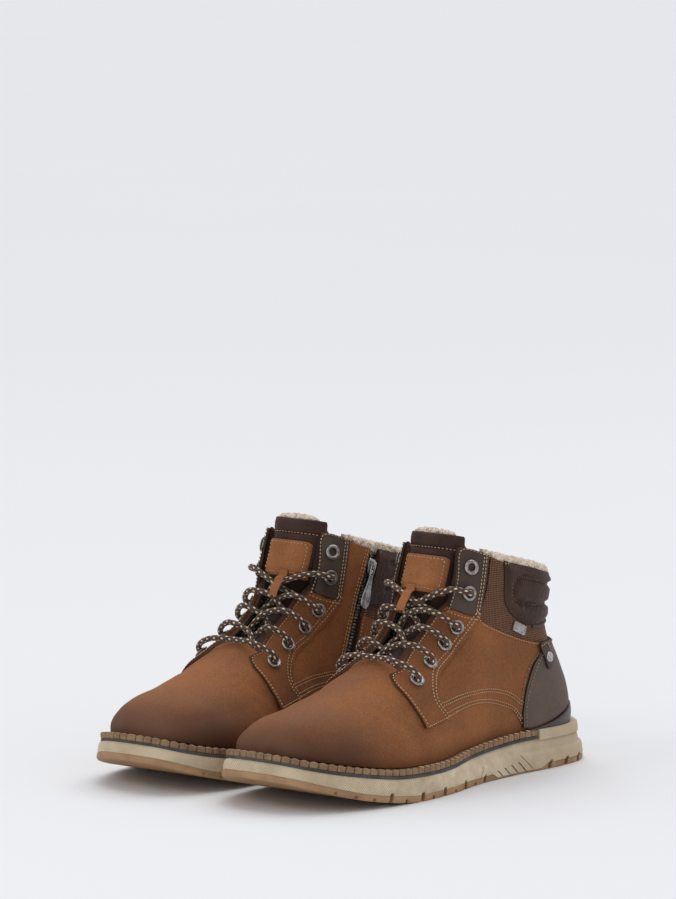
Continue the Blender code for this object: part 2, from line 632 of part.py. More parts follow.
def lace_route():
    """Middle line of the lace: a straight bar at the bottom, then criss-cross up to the
    second eyelets, the ends tucked inside the boot."""
    top = FLANGE_FOOT + 1.0                         # top of an eyelet flange
    over = top + LACE / 2 + 0.5
    under = LEATHER + GAP + STIFF + 0.5 + LACE / 2 + 0.9
    arms = []
    for start in (1, -1):
        side, arm = start, []
        for i in range(5, 0, -1):
            hole, n = surface_point(*EYELETS[i], side)
            edge, m, out = throat_edge(i, side)
            back = (edge - hole) / np.linalg.norm(edge - hole)
            arm += [hole + n * (top + 1.4), hole - n * (under - 1.2)]
            if i == 1:
                break
            arm += [hole + back * 4.0 - n * (under + 0.9), edge - m * (under + 0.2) + out * 1.0]
            y_mid = y_at_height(0.5 * (edge[2] + throat_edge(i - 1, side)[0][2]) + (4.5 if i > 2 else -2.0))
            lift = LACE / 2 + (1.2 if i > 2 else 3.0) + (0 if start > 0 else LACE + 0.4)
            arm.append(np.array(tongue_point(0.0, y_mid, -lift)))
            side = -side
            hole, n = surface_point(*EYELETS[i - 1], side)
            edge, m, out = throat_edge(i - 1, side, 0.0)
            arm += [edge + m * (over - 0.9) + out * 0.5, hole + (edge - hole) * 0.3 + n * (over + 1.2)]
        y, z = EYELETS[1]
        x = side * 21.0
        arm += [np.array([x, y + 14, z - 4]), np.array([x * 0.86, y + 23, z - 11])]
        for k in range(1, 8):
            arm.append(np.array([x * 0.72, y + 26 + 2.6 * k, z - 11 - 9.0 * k]))
        arms.append(arm)
    bar = []
    for side in (1, -1):
        hole, n = surface_point(*EYELETS[5], side)
        edge, m, out = throat_edge(5, side, 0.0)
        bar.append([hole + (edge - hole) * 0.3 + n * (over + 1.2), edge + m * (over - 0.6) + out * 1.5])
    crest, inward, _ = throat_at(-39.0)
    middle = [np.array([0.0, *(crest - inward * (LACE / 2 + 1.1))])]
    return arms[1][::-1] + bar[1] + middle + bar[0][::-1] + arms[0]


def cord(name, points, diameter):
    curve = bpy.data.curves.new(name, 'CURVE')
    curve.dimensions = '3D'
    curve.bevel_depth, curve.bevel_resolution, curve.use_fill_caps = diameter / 2, 2, True
    line = curve.splines.new('POLY')
    line.points.add(len(points) - 1)
    for q, p in zip(line.points, points):
        q.co = (*[float(c) for c in p], 1)
    obj = bpy.data.objects.new(name + "_curve", curve)
    boots.objects.link(obj)
    bpy.context.view_layer.update()
    deps = bpy.context.evaluated_depsgraph_get()
    mesh = bpy.data.meshes.new_from_object(obj.evaluated_get(deps))
    mesh.transform(obj.matrix_world)
    bpy.data.objects.remove(obj, do_unlink=True)
    bm = bmesh.new()
    bm.from_mesh(mesh)
    bmesh.ops.remove_doubles(bm, verts=bm.verts, dist=0.0001)
    bmesh.ops.recalc_face_normals(bm, faces=bm.faces)
    bm.to_mesh(mesh)
    bm.free()
    out = bpy.data.objects.new(name, mesh)
    boots.objects.link(out)
    return out


def build_lace():
    points = lace_route()
    length = sum(math.dist(a, b) for a, b in zip(points, points[1:]))
    cord("lace", points, LACE)
    print("lace length %.0f mm, %d points" % (length, len(points)))


# --------------------------------------------------------------------- zip
def build_zip():
    tape = closed(beside_zip(ZIP_TAPE / 2, -3.0, 8.0), beside_zip(-ZIP_TAPE / 2, -3.0, 8.0)[::-1])
    chain = closed(beside_zip(ZIP_CHAIN / 2, -4.0, -1.0), beside_zip(-ZIP_CHAIN / 2, -4.0, -1.0)[::-1])
    hidden = (-LEATHER - GAP - STIFF, -LEATHER - GAP)
    zipper = panel("zip_chain", tape, MED, *hidden)
    teeth = panel("teeth", chain, MED, hidden[0] + 0.3, -0.7)
    combine(zipper, teeth, 'UNION')


def zip_frame():
    """Slider place near the top: origin, down the zip, towards the heel, outwards."""
    top = np.array(ZIP_TOP) + zip_dir * 12.0
    low = np.array(ZIP_END) + zip_dir * -4.0
    a, n = surface_point(*top, -1)
    b, m = surface_point(*low, -1)
    down = (b - a) / np.linalg.norm(b - a)
    out = n + m
    out = out - down * (out @ down)
    out /= np.linalg.norm(out)
    across = np.cross(out, down)
    return a, down, across, out, float(np.linalg.norm(b - a))


def local_block(name, frame, sections, where=None):
    """Box-like solid: sections of (along, half width, low, high)."""
    a, down, across, out = frame[:4]
    grid = []
    for d, half, lo, hi in sections:
        c = a + down * d
        grid.append([c + across * x + out * h for x, h in
                     ((-half, lo), (half, lo), (half, hi), (-half, hi))])
    return block(name, grid, where)


def build_slider():
    frame = zip_frame()
    lift = -0.7 + GAP + 0.2
    body = local_block("zip_slider", frame, [(-5.5, 3.3, lift, lift + 1.4), (-4, 3.9, lift, lift + 1.9),
                                             (3, 3.0, lift, lift + 1.9), (5, 2.4, lift, lift + 1.4)])
    bridge = local_block("bridge", frame, [(-4.0, 0.9, lift + 1.0, lift + 2.2),
                                           (-3.2, 0.9, lift + 1.0, lift + 4.6),
                                           (1.6, 0.9, lift + 1.0, lift + 4.6),
                                           (2.4, 0.9, lift + 1.0, lift + 2.2)], cutters)
    eye = local_block("eye", frame, [(-2.2, 3, lift + 1.95, lift + 3.7),
                                     (0.8, 3, lift + 1.95, lift + 3.7)], cutters)
    combine(bridge, eye, 'DIFFERENCE')
    combine(body, bridge, 'UNION')
    # teardrop pull: a ring through the bridge and a flat leaf that hangs below it
    a, down, across, out = frame[:4]
    pin = a - down * 0.7 + out * (lift + 2.9)
    plumb = np.array([0.0, 0.0, -1.0])
    plumb = plumb - across * (plumb @ across)
    plumb /= np.linalg.norm(plumb)
    if plumb @ out < 0:
        plumb = down
    hang = (pin, plumb, across, np.cross(plumb, across))
    if hang[3] @ out < 0:
        hang = (pin, plumb, across, -hang[3])
    pull = local_block("zip_pull", hang, [(0.0, 1.9, -0.45, 0.45), (3.2, 2.0, -0.5, 0.5),
                                          (9.0, 1.7, -0.5, 0.5), (18.0, 3.5, -0.6, 0.6),
                                          (24.0, 4.3, -0.6, 0.6), (28.0, 3.0, -0.5, 0.5),
                                          (29.2, 1.2, -0.5, 0.5)])
    hole = local_block("hole", hang, [(-0.6, 1.25, -2, 2), (6.0, 1.3, -2, 2)], cutters)
    combine(pull, hole, 'DIFFERENCE')
    combine(pull, tube("pin", pin, across, [(0.5, -1.9), (0.5, 1.9)], 12, cutters), 'UNION')
    return frame, pin


# ------------------------------------------------------------------- main
build_sole()
build_insole()
build_upper()
build_overlays()
build_inner()
build_eyelets()
build_tongue()
build_patch()
build_lace()
build_zip()
zip_at, pin_at = build_slider()

ORIGINS = {"zip_slider": zip_at[0], "zip_pull": pin_at}
PARENTS = {"zip_pull": "zip_slider"}
TAN, DARK, TAUPE, FLEECE_C = (0.225, 0.085, 0.031), (0.058, 0.026, 0.019), (0.072, 0.046, 0.036), \
    (0.62, 0.50, 0.36)
LOOKS = {                      # colour, roughness, metallic
    "outsole": ((0.29, 0.17, 0.09), 0.75, 0), "midsole": ((0.52, 0.43, 0.29), 0.7, 0),
    "rand": ((0.09, 0.09, 0.1), 0.7, 0), "welt": ((0.22, 0.13, 0.07), 0.7, 0),
    "insole_board": ((0.35, 0.26, 0.17), 0.9, 0), "footbed": (FLEECE_C, 0.95, 0),
    "vamp": (TAN, 0.75, 0), "quarter_lateral": (TAN, 0.75, 0), "quarter_medial": (TAN, 0.75, 0),
    "facing_lateral": (TAN, 0.72, 0), "facing_medial": (TAN, 0.72, 0),
    "ankle_tab_lateral": (TAUPE, 0.65, 0), "ankle_tab_medial": (TAUPE, 0.65, 0),
    "textile_lateral": ((0.12, 0.055, 0.026), 0.9, 0),
    "textile_medial": ((0.12, 0.055, 0.026), 0.9, 0),
    "collar": (DARK, 0.55, 0), "counter_cover": (TAUPE, 0.6, 0), "heel_strap": (TAUPE, 0.6, 0),
    "heel_clip": ((0.1, 0.08, 0.085), 0.5, 0), "heel_stiffener": ((0.4, 0.36, 0.3), 0.8, 0),
    "toe_puff": ((0.4, 0.36, 0.3), 0.8, 0), "lining": (FLEECE_C, 1.0, 0),
    "tongue": (DARK, 0.5, 0), "tongue_patch": ((0.3, 0.125, 0.045), 0.7, 0),
    "eyelet_strip_lateral": ((0.3, 0.29, 0.27), 0.35, 0.9),
    "eyelet_strip_medial": ((0.3, 0.29, 0.27), 0.35, 0.9),
    "lace": ((0.09, 0.055, 0.04), 0.9, 0), "zip_chain": ((0.03, 0.028, 0.026), 0.6, 0),
    "zip_slider": ((0.5, 0.5, 0.5), 0.3, 1), "zip_pull": ((0.5, 0.5, 0.5), 0.3, 1),
}


def finish(source, name, side, centre):
    """Turn a millimetre model of the left boot into one placed, named, coloured object."""
    shift = np.array([side * PAIR_SPACING / 2, 0.0, 0.0]) - centre
    origin = ORIGINS.get(name, np.zeros(3)) * [side, 1, 1]
    bm = bmesh.new()
    bm.from_mesh(source)
    for v in bm.verts:
        v.co.x *= side
        v.co = (v.co - Vector(origin)) * MM
    if side < 0:
        bmesh.ops.reverse_faces(bm, faces=bm.faces)
    prefix = "left_" if side > 0 else "right_"
    mesh = bpy.data.meshes.new(prefix + name)
    bm.to_mesh(mesh)
    bm.free()
    mesh.polygons.foreach_set("use_smooth", [True] * len(mesh.polygons))
    mesh.set_sharp_from_angle(angle=math.radians(32))
    colour, rough, metal = LOOKS[name]
    mat = bpy.data.materials.new(prefix + name)
    mat.use_nodes = True
    shader = mat.node_tree.nodes["Principled BSDF"]
    shader.inputs["Base Color"].default_value = (*colour, 1)
    shader.inputs["Roughness"].default_value = rough
    shader.inputs["Metallic"].default_value = metal
    mesh.materials.append(mat)
    obj = bpy.data.objects.new(prefix + name, mesh)
    boots.objects.link(obj)
    obj.location = Vector((origin + shift) * MM)
    return obj


models = {o.name: o.data for o in list(boots.objects)}
for o in list(boots.objects):
    bpy.data.objects.remove(o, do_unlink=True)
ys = [v.co.y for m in models.values() for v in m.vertices]
centre = np.array([0.0, (min(ys) + max(ys)) / 2, 0.0])
for side in (1, -1):
    made = {name: finish(mesh, name, side, centre) for name, mesh in sorted(models.items())}
    for child, parent in PARENTS.items():
        made[child].parent = made[parent]
        made[child].matrix_parent_inverse = Matrix.Translation(made[parent].location).inverted()
    turn = np.array([side, 1, 1])
    place = lambda p: [round(float(c), 5) for c in (p * turn + [side * PAIR_SPACING / 2, 0, 0]
                                                    - centre) * MM]
    print(side, "zip down", [round(float(c), 5) for c in zip_at[1] * turn], "travel",
          round(zip_at[4] * MM, 4))
    print(side, "pull pin", place(pin_at), "axis", [round(float(c), 5) for c in zip_at[2] * turn])
print("centre", centre)
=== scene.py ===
import math
import bpy
import bmesh
import numpy as np
from mathutils import Matrix, Vector, noise


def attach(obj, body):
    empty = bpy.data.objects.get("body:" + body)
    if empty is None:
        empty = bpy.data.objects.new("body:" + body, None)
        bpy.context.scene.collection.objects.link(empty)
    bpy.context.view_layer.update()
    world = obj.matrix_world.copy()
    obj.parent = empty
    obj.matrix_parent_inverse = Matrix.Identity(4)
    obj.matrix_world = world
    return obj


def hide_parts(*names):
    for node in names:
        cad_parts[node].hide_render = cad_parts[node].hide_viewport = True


# Looks of a pair of fleece-lined lace-up ankle boots.
# Everything is modelled in millimetres about the left boot's own middle (lateral side +X,
# inner side -X, toes -Y) and then placed in the row frame in metres; the right boot mirrors it.
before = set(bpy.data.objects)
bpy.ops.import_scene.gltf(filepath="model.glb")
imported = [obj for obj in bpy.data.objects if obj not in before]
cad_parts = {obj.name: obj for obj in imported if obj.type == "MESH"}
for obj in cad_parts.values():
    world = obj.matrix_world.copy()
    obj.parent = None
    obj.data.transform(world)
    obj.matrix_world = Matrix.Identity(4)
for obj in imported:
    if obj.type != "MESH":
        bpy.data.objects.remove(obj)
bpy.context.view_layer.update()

MM = 0.001
GAP = 0.3
HALF_SPACING = 59.0          # middle of the pair to the middle of a boot
CENTRE_Y = 2.05              # middle of the boot's length in its own millimetres
LEATHER, OVERLAY, STIFF, FLEECE = 1.8, 1.4, 1.0, 4.4
GUM, ARCH_GUM, WELT, RAND, BOARD, FOOTBED = 4.4, 1.4, 3.8, 1.9, 2.2, 4.5
EYELET_BARREL, EYELET_FLANGE, LACE = 6.8, 9.6, 3.9
ZIP_SLOT, ZIP_TAPE = 8.0, 20.0
SIDES = (("left_", 1), ("right_", -1))

# plan outline of the sole and of the upper: (x, y), lateral then inner side
SOLE_LAT = [(-8, -153), (14, -150), (36, -135), (51, -105), (57, -66), (54, -25), (45, 15),
            (41, 60), (42, 100), (36, 132), (18, 149), (0, 153)]
SOLE_MED = [(-8, -153), (-30, -149), (-46, -131), (-53, -100), (-52, -62), (-45, -25),
            (-37, 10), (-36, 50), (-38, 90), (-34, 128), (-19, 148), (0, 153)]
UP_LAT = [(-6, -144), (14, -141), (33, -127), (46, -100), (51, -66), (48, -25), (40, 15),
          (36, 60), (37, 96), (31, 124), (17, 139), (0, 143)]
UP_MED = [(-6, -144), (-27, -140), (-42, -125), (-48, -98), (-47, -62), (-40, -25),
          (-33, 10), (-33, 50), (-34, 88), (-30, 122), (-17, 139), (0, 143)]
# side view (y, z): tread, top of the welt, front ridge, heel line, top line
TREAD = [(-156, 21), (-148, 18.3), (-140, 15.4), (-130, 12.1), (-120, 9.3), (-110, 6.6), (-100, 4.6),
         (-90, 3.0), (-80, 1.6), (-70, 0.6), (-62, 0), (140, 0), (150, 0.6), (160, 2)]
WELT_TOP = [(-156, 39), (-148, 36.3), (-140, 33.8), (-130, 31.3), (-120, 29.2), (-110, 27.4),
            (-100, 25.7), (-90, 24.2), (-80, 22.9), (-70, 22.2), (-60, 21.8), (-45, 21.4), (-30, 21.4),
            (-15, 22.2), (0, 23.5), (30, 25.3), (60, 26.6), (86, 27), (110, 26.8), (160, 26.4)]
FRONT = [(-144, 36), (-143.5, 42), (-140, 49), (-131, 55), (-116, 59), (-100, 61.5), (-81, 66),
         (-60, 73), (-42, 82), (-24, 93), (-7, 108), (4, 124), (11, 141), (14, 153), (16, 162)]
BACK = [(143, 26), (143, 38), (139.5, 52), (132, 67), (124, 84), (121, 99), (120.5, 113),
        (122.5, 126)]
TOP = [(16, 162), (24, 155), (37, 149), (51, 142.5), (77, 135.5), (102, 129), (122.5, 126)]
SHAFT_LAT = [(70, 34), (90, 33), (110, 34.5), (130, 37), (150, 38), (175, 38)]
SHAFT_MED = [(70, 33), (90, 33), (110, 34), (130, 36), (150, 37), (175, 37)]
BACK_ROUND = 40.0

# seams in the side view (y, z)
THROAT = [(21, 154), (11.5, 119.5), (5, 113), (-7, 100), (-29, 85), (-38, 79.5)]
FACING_REAR = [(40, 148.5), (31, 108.5), (5, 85), (-16, 73), (-24, 60), (-19, 50.3)]
BAND_LOW = [(-45, 45), (-30, 47), (-9, 50.8), (12, 52.6), (31, 51.5), (48, 47.5), (63, 41.5),
            (77, 28)]
TEXTILE_LOW = [(32, 105), (55, 95), (85, 85.5), (110, 84), (135, 84)]
COLLAR_FRONT = [(53, 142), (54.5, 116), (61, 107), (71, 101), (86, 96), (110, 97), (135, 97)]
COUNTER_FRONT = [(89.5, 78), (81, 70), (74, 55), (71, 40)]
CLIP_TOP = [(75, 27.5), (86, 28.2), (101, 30.5), (115, 34.5), (129, 38.6), (150, 40.5)]
ZIP_TOP, ZIP_END = (62, 139.5), (36.5, 66)
EYELETS = [(25.5, 140.5), (22, 124), (12.3, 102.3), (0.8, 91.7), (-16.8, 81.4), (-34.8, 72)]


# ------------------------------------------------------------------ curves
def through(points, steps):
    """Centripetal curve through 2-D or 3-D points, with so many steps from each to the next."""
    p = np.array(points, float)
    ext = np.vstack([2 * p[0] - p[1], p, 2 * p[-1] - p[-2]])
    out = []
    for i in range(1, len(ext) - 2):
        a, b, c, d = ext[i - 1:i + 3]
        t0 = 0.0
        t1 = t0 + np.linalg.norm(b - a) ** 0.5
        t2 = t1 + np.linalg.norm(c - b) ** 0.5
        t3 = t2 + np.linalg.norm(d - c) ** 0.5
        t = np.linspace(t1, t2, steps, endpoint=False)[:, None]
        ab = (t1 - t) / (t1 - t0) * a + (t - t0) / (t1 - t0) * b
        bc = (t2 - t) / (t2 - t1) * b + (t - t1) / (t2 - t1) * c
        cd = (t3 - t) / (t3 - t2) * c + (t - t2) / (t3 - t2) * d
        abc = (t2 - t) / (t2 - t0) * ab + (t - t0) / (t2 - t0) * bc
        bcd = (t3 - t) / (t3 - t1) * bc + (t - t1) / (t3 - t1) * cd
        out.append((t2 - t) / (t2 - t1) * abc + (t - t1) / (t2 - t1) * bcd)
    return np.vstack(out + [p[-1:]])


def spline(points, count=300):
    """A smooth curve through the points, evenly spaced along its length."""
    return resample(through(points, 30), count)


def resample(line, count):
    line = np.asarray(line, float)
    run = run_of(line)
    at = np.linspace(0, run[-1], count)
    return np.stack([np.interp(at, run, line[:, k]) for k in range(line.shape[1])], 1)


def run_of(line):
    line = np.asarray(line, float)
    return np.concatenate([[0], np.cumsum(np.linalg.norm(np.diff(line, axis=0), axis=1))])


def ease(x, a, b):
    t = np.clip((np.asarray(x, float) - a) / (b - a), 0, 1)
    return t * t * (3 - 2 * t)


front_line, back_line, top_line = spline(FRONT), spline(BACK), spline(TOP)
up_lat, up_med = spline(UP_LAT, 900), spline(UP_MED, 900)
sole_lat, sole_med = spline(SOLE_LAT, 900), spline(SOLE_MED, 900)
tread_line, welt_line = spline(TREAD), spline(WELT_TOP)
shaft_lat, shaft_med = spline(SHAFT_LAT), spline(SHAFT_MED)


def tread(y):
    rise = np.maximum(np.interp(y, tread_line[:, 0], tread_line[:, 1]), 0)
    return rise * (1 - ease(y, -70, -64) * (1 - ease(y, 138, 142)))


def welt_top(y):
    return np.interp(y, welt_line[:, 0], welt_line[:, 1])


def ridge(y):
    last = front_line[-1]
    z = np.interp(y, front_line[:, 0], front_line[:, 1])
    return z + np.where(y > last[0], (y - last[0]) * 3.0, 0)


def half_width(y, z, side):
    plan, shaft = (up_lat, shaft_lat) if side > 0 else (up_med, shaft_med)
    wide = np.interp(np.minimum(y, 90.0), plan[:, 1], side * plan[:, 0])
    k = ease(z, 62, 105) * ease(y, -60, 0)
    wide = wide * (1 - k) + np.interp(z, shaft[:, 0], shaft[:, 1]) * k
    low = welt_top(y)
    q = np.clip((z - low) / np.maximum(ridge(y) - low, 1e-3), 0, 1)
    arch = (1 - q ** 2.2) ** (1 / 2.1)
    bulge = 1 + 0.04 * np.sin(np.pi * np.clip(q / 0.6, 0, 1))
    back = np.clip((np.interp(z, back_line[:, 1], back_line[:, 0]) - y) / BACK_ROUND, 0, 1)
    return wide * arch * bulge * np.sqrt(np.maximum(1 - (1 - back) ** 2.2, 0))


def along(line, q):
    at = np.linspace(0, 1, len(line))
    return np.stack([np.interp(q, at, line[:, k]) for k in range(2)], -1)


def upper(u, v):
    """u: 0 front ridge, 1 lateral way to the back, -1 inner way.  v: 0 welt, 1 top line."""
    u, v = np.asarray(u, float), np.asarray(v, float)
    t = (1 - np.cos(np.pi * np.abs(u))) / 2
    y0, y1 = FRONT[0][0], BACK[0][0]
    yy = y0 + (y1 - y0) * t
    low = np.stack([yy, np.where(t <= 0, FRONT[0][1], welt_top(yy))], -1)
    t_, v_ = t[..., None], v[..., None]
    c00, c10 = np.array([y0, welt_top(y0)]), np.array([y1, welt_top(y1)])
    side = ((1 - v_) * low + v_ * along(top_line, t) + (1 - t_) * along(front_line, v)
            + t_ * along(back_line, v)
            - ((1 - t_) * (1 - v_) * c00 + t_ * (1 - v_) * c10
               + (1 - t_) * v_ * top_line[0] + t_ * v_ * top_line[-1]))
    y, z = side[..., 0], side[..., 1]
    w = np.where(u >= 0, half_width(y, z, 1), -half_width(y, z, -1))
    return np.stack([np.where((t <= 0) | (t >= 1), 0, w), y, z], -1)


def wrap(u):
    return (u + 1) % 2 - 1


def unit(a):
    return a / np.maximum(np.linalg.norm(a, axis=-1), 1e-9)[..., None]


def skin(u, v):
    """Points and outward normals of the outer face at many (u, v)."""
    u, v = np.asarray(u, float), np.asarray(v, float)
    h = 0.006
    pu = upper(wrap(u + h), v) - upper(wrap(u - h), v)
    pv = upper(u, np.minimum(v + h, 1)) - upper(u, np.maximum(v - h, 0))
    n = np.cross(pu, pv)
    low = (1 - ease(v, 0, 0.12))[..., None]
    n = unit(n)
    n = unit(n * np.concatenate([np.ones_like(low), np.ones_like(low), 1 - 0.9 * low], -1))
    p = upper(u, v)
    p[..., 2] += (GAP - 0.5) * (1 - ease(v, 0, 0.02))
    return p, n


def surface_point(y, z, side=1):
    """Point of the outer face and its normal at a side-view place."""
    e = 0.5
    x = lambda a, b: side * float(half_width(np.array(a), np.array(b), side))
    p = np.array([x(y, z), y, z])
    n = np.cross([x(y + e, z) - p[0], e, 0], [x(y, z + e) - p[0], 0, e])
    n = n / np.linalg.norm(n)
    return p, n * side


# ------------------------------------------------------------ mesh making
def mesh_of(name, verts, faces, uvs=None, weld=0.001, smooth=True, crease=35, turn=True):
    mesh = bpy.data.meshes.new(name)
    mesh.from_pydata([tuple(float(c) for c in v) for v in verts], [], [tuple(f) for f in faces])
    if uvs is not None:
        layer = mesh.uv_layers.new(name="UVMap")
        flat = [c for ring in uvs for pair in ring for c in pair]
        layer.data.foreach_set("uv", flat)
    bm = bmesh.new()
    bm.from_mesh(mesh)
    if weld:
        bmesh.ops.remove_doubles(bm, verts=bm.verts, dist=weld)
    if turn:
        bmesh.ops.recalc_face_normals(bm, faces=bm.faces)
    bm.to_mesh(mesh)
    bm.free()
    if smooth:
        shade(mesh, crease)
    return mesh


def shade(mesh, crease=35):
    mesh.polygons.foreach_set("use_smooth", [True] * len(mesh.polygons))
    if crease:
        mesh.set_sharp_from_angle(angle=math.radians(crease))


def joined(name, meshes):
    """Several meshes in one, each keeping its UV map."""
    bm = bmesh.new()
    for m in meshes:
        bm.from_mesh(m)
    out = bpy.data.meshes.new(name)
    bm.to_mesh(out)
    bm.free()
    return out


def loose_object(mesh, name="work"):
    obj = bpy.data.objects.new(name, mesh)
    bpy.context.scene.collection.objects.link(obj)
    return obj


def baked(obj):
    """The object's mesh with its modifiers applied; the object is removed."""
    deps = bpy.context.evaluated_depsgraph_get()
    mesh = bpy.data.meshes.new_from_object(obj.evaluated_get(deps))
    bpy.data.objects.remove(obj, do_unlink=True)
    return mesh


def modified(mesh, kind, **values):
    obj = loose_object(mesh)
    mod = obj.modifiers.new(kind, kind)
    for key, value in values.items():
        setattr(mod, key, value)
    return baked(obj)


def combine(mesh, other, how='INTERSECT'):
    a, b = loose_object(mesh), loose_object(other)
    mod = a.modifiers.new(how, 'BOOLEAN')
    mod.operation, mod.solver, mod.object = how, 'EXACT', b
    out = baked(a)
    bpy.data.objects.remove(b, do_unlink=True)
    return out


def grid_faces(rows, cols, closed=False, start=0):
    out = []
    for r in range(rows - 1):
        for c in range(cols if closed else cols - 1):
            d = (c + 1) % cols
            out.append((start + r * cols + c, start + r * cols + d,
                        start + (r + 1) * cols + d, start + (r + 1) * cols + c))
    return out


def block(grid, crease=35):
    """Closed solid from a grid of sections: grid[i][j] with the rings j closed."""
    grid = np.asarray(grid, float)
    rings, count = grid.shape[:2]
    faces = grid_faces(rings, count, True)
    faces.append(tuple(range(count)))
    faces.append(tuple((rings - 1) * count + j for j in reversed(range(count))))
    return mesh_of("block", grid.reshape(-1, 3), faces, crease=crease)


def soften(poly, radius=3.0, steps=5):
    """Side-view polygon with its sharp corners rounded."""
    p = [np.array(q, float) for q in poly]
    out = []
    for i in range(len(p)):
        a, b, c = p[i - 1], p[i], p[(i + 1) % len(p)]
        la, lc = np.linalg.norm(a - b), np.linalg.norm(c - b)
        ua, uc = (a - b) / la, (c - b) / lc
        if ua @ uc < -0.96:
            out.append(tuple(b))
            continue
        r = min(radius, la * 0.45, lc * 0.45)
        s, e = b + ua * r, b + uc * r
        for k in range(steps + 1):
            t = k / steps
            out.append(tuple((1 - t) ** 2 * s + 2 * t * (1 - t) * b + t * t * e))
    return out


def inset(poly, d):
    p = np.array(poly, float)
    area = 0.5 * np.sum(p[:, 0] * np.roll(p[:, 1], -1) - np.roll(p[:, 0], -1) * p[:, 1])
    if area < 0:
        p = p[::-1]
    out = []
    for i in range(len(p)):
        a, b, c = p[i - 1], p[i], p[(i + 1) % len(p)]
        e, f = unit(b - a), unit(c - b)
        n, m = np.array([-e[1], e[0]]), np.array([-f[1], f[0]])
        s = n + m
        out.append(b + s / np.linalg.norm(s) * d / max(math.sqrt((1 + n @ m) / 2), 0.4))
    return out


def curved(points, every=2.0):
    """Open seam as a smooth line with a point every couple of millimetres."""
    length = run_of(np.array(points, float))[-1]
    return [tuple(q) for q in spline(points, max(4, int(length / every)))]


def prism(poly, x0, x1, shrink=0.12):
    pts = inset(poly, shrink)
    return block([[(x, y, z) for y, z in pts] for x in (x0, x1)])


def slab_shell(u_range, v_range, inside, outside, step=2.4, rise=0.0, puff=None):
    """Closed wall over a patch of the upper, between two offsets.  puff(points, u, v) adds to
    the outer offset."""
    probe_u = np.linspace(*u_range, 60)
    probe = upper(wrap(probe_u), np.full(60, 0.5 * sum(v_range)))
    n_u = max(6, int(run_of(probe)[-1] / step))
    probe = upper(wrap(np.full(60, 0.5 * sum(u_range))), np.linspace(*v_range, 60))
    n_v = max(5, int(run_of(probe)[-1] / step))
    us, vs = np.linspace(*u_range, n_u + 1), np.linspace(*v_range, n_v + 1)
    closed = u_range[1] - u_range[0] > 1.999
    if closed:
        us = us[:-1]
    uu, vv = np.meshgrid(us, vs)
    p, n = skin(wrap(uu), vv)
    more = puff(p, uu, vv) if puff else 0.0
    outer, inner = p + n * (outside + more)[..., None] if puff else p + n * outside, p + n * inside
    if rise:
        lift = lambda g: np.concatenate([g, (g[-1] + unit(g[-1] - g[-2]) * rise)[None]])
        outer, inner = lift(outer), lift(inner)
    rows, cols = outer.shape[:2]
    count = rows * cols
    verts = np.concatenate([inner.reshape(-1, 3), outer.reshape(-1, 3)])
    faces = grid_faces(rows, cols, closed) + [tuple(reversed(f)) for f in
                                              grid_faces(rows, cols, closed, count)]
    at = lambda r, c, k: k * count + r * cols + c % cols
    for c in range(cols if closed else cols - 1):
        faces.append((at(0, c, 0), at(0, c, 1), at(0, c + 1, 1), at(0, c + 1, 0)))
        faces.append((at(rows - 1, c, 0), at(rows - 1, c + 1, 0), at(rows - 1, c + 1, 1),
                      at(rows - 1, c, 1)))
    if not closed:
        for r in range(rows - 1):
            faces.append((at(r, 0, 0), at(r + 1, 0, 0), at(r + 1, 0, 1), at(r, 0, 1)))
            faces.append((at(r, cols - 1, 0), at(r, cols - 1, 1), at(r + 1, cols - 1, 1),
                          at(r + 1, cols - 1, 0)))
    return mesh_of("shell", verts, faces, weld=0.0005)


def panel(poly, x_span, u_range, inside, outside, v_range=(0, 1), step=2.4, rise=0.0, puff=None,
          poly_med=None, crease=40):
    """Piece of the upper cut to a side-view outline."""
    shell = slab_shell(u_range, v_range, inside, outside, step, rise, puff)
    if poly_med is None:
        cut = prism(poly, *x_span)
    else:
        cut = combine(prism(poly, 0.0, 90.0), prism(poly_med, -90.0, 0.4), 'UNION')
    out = combine(shell, cut)
    shade(out, crease)
    return out


def closed(*parts):
    out = []
    for part in parts:
        for p in part:
            if not out or math.dist(out[-1], p) > 0.05:
                out.append(tuple(p))
    return out


def near(points, lines, width):
    """How close each point is to a set of 3-D lines: 1 on the line, 0 past the width."""
    flat = points.reshape(-1, 3)
    every = np.concatenate([np.asarray(line, float) for line in lines])
    best = np.full(len(flat), 1e9)
    for i in range(0, len(every), 200):
        chunk = every[i:i + 200]
        d = ((flat[:, None, :] - chunk[None]) ** 2).sum(-1).min(1)
        best = np.minimum(best, d)
    return (1 - ease(np.sqrt(best), 0, width)).reshape(points.shape[:-1])


# ------------------------------------------------------- seams on the surface
def seam_line(points, side, lift=0.0, every=1.5, smooth=True):
    """3-D line on the outer face from side-view points."""
    flat = curved(points, every) if smooth else [tuple(q) for q in
                                                 resample(points, max(3, int(run_of(points)[-1] / every)))]
    out = []
    for y, z in flat:
        p, n = surface_point(y, z, side)
        out.append(p + n * lift)
    return np.array(out)


def offset_line(points, d):
    """Side-view line moved sideways by d."""
    p = np.array(points, float)
    t = unit(np.gradient(p, axis=0))
    return p + np.stack([-t[:, 1], t[:, 0]], 1) * d


def level_line(height, u0, u1, lift=0.0, count=220):
    """3-D line round the upper where it has a given height (y): used for lines that go round
    the heel."""
    us = np.linspace(u0, u1, count)
    lo, hi = np.zeros(count), np.ones(count)
    for _ in range(26):
        mid = (lo + hi) / 2
        p = upper(wrap(us), mid)
        high = p[:, 2] > height(p[:, 1])
        hi = np.where(high, mid, hi)
        lo = np.where(high, lo, mid)
    p, n = skin(wrap(us), (lo + hi) / 2)
    return p + n * lift


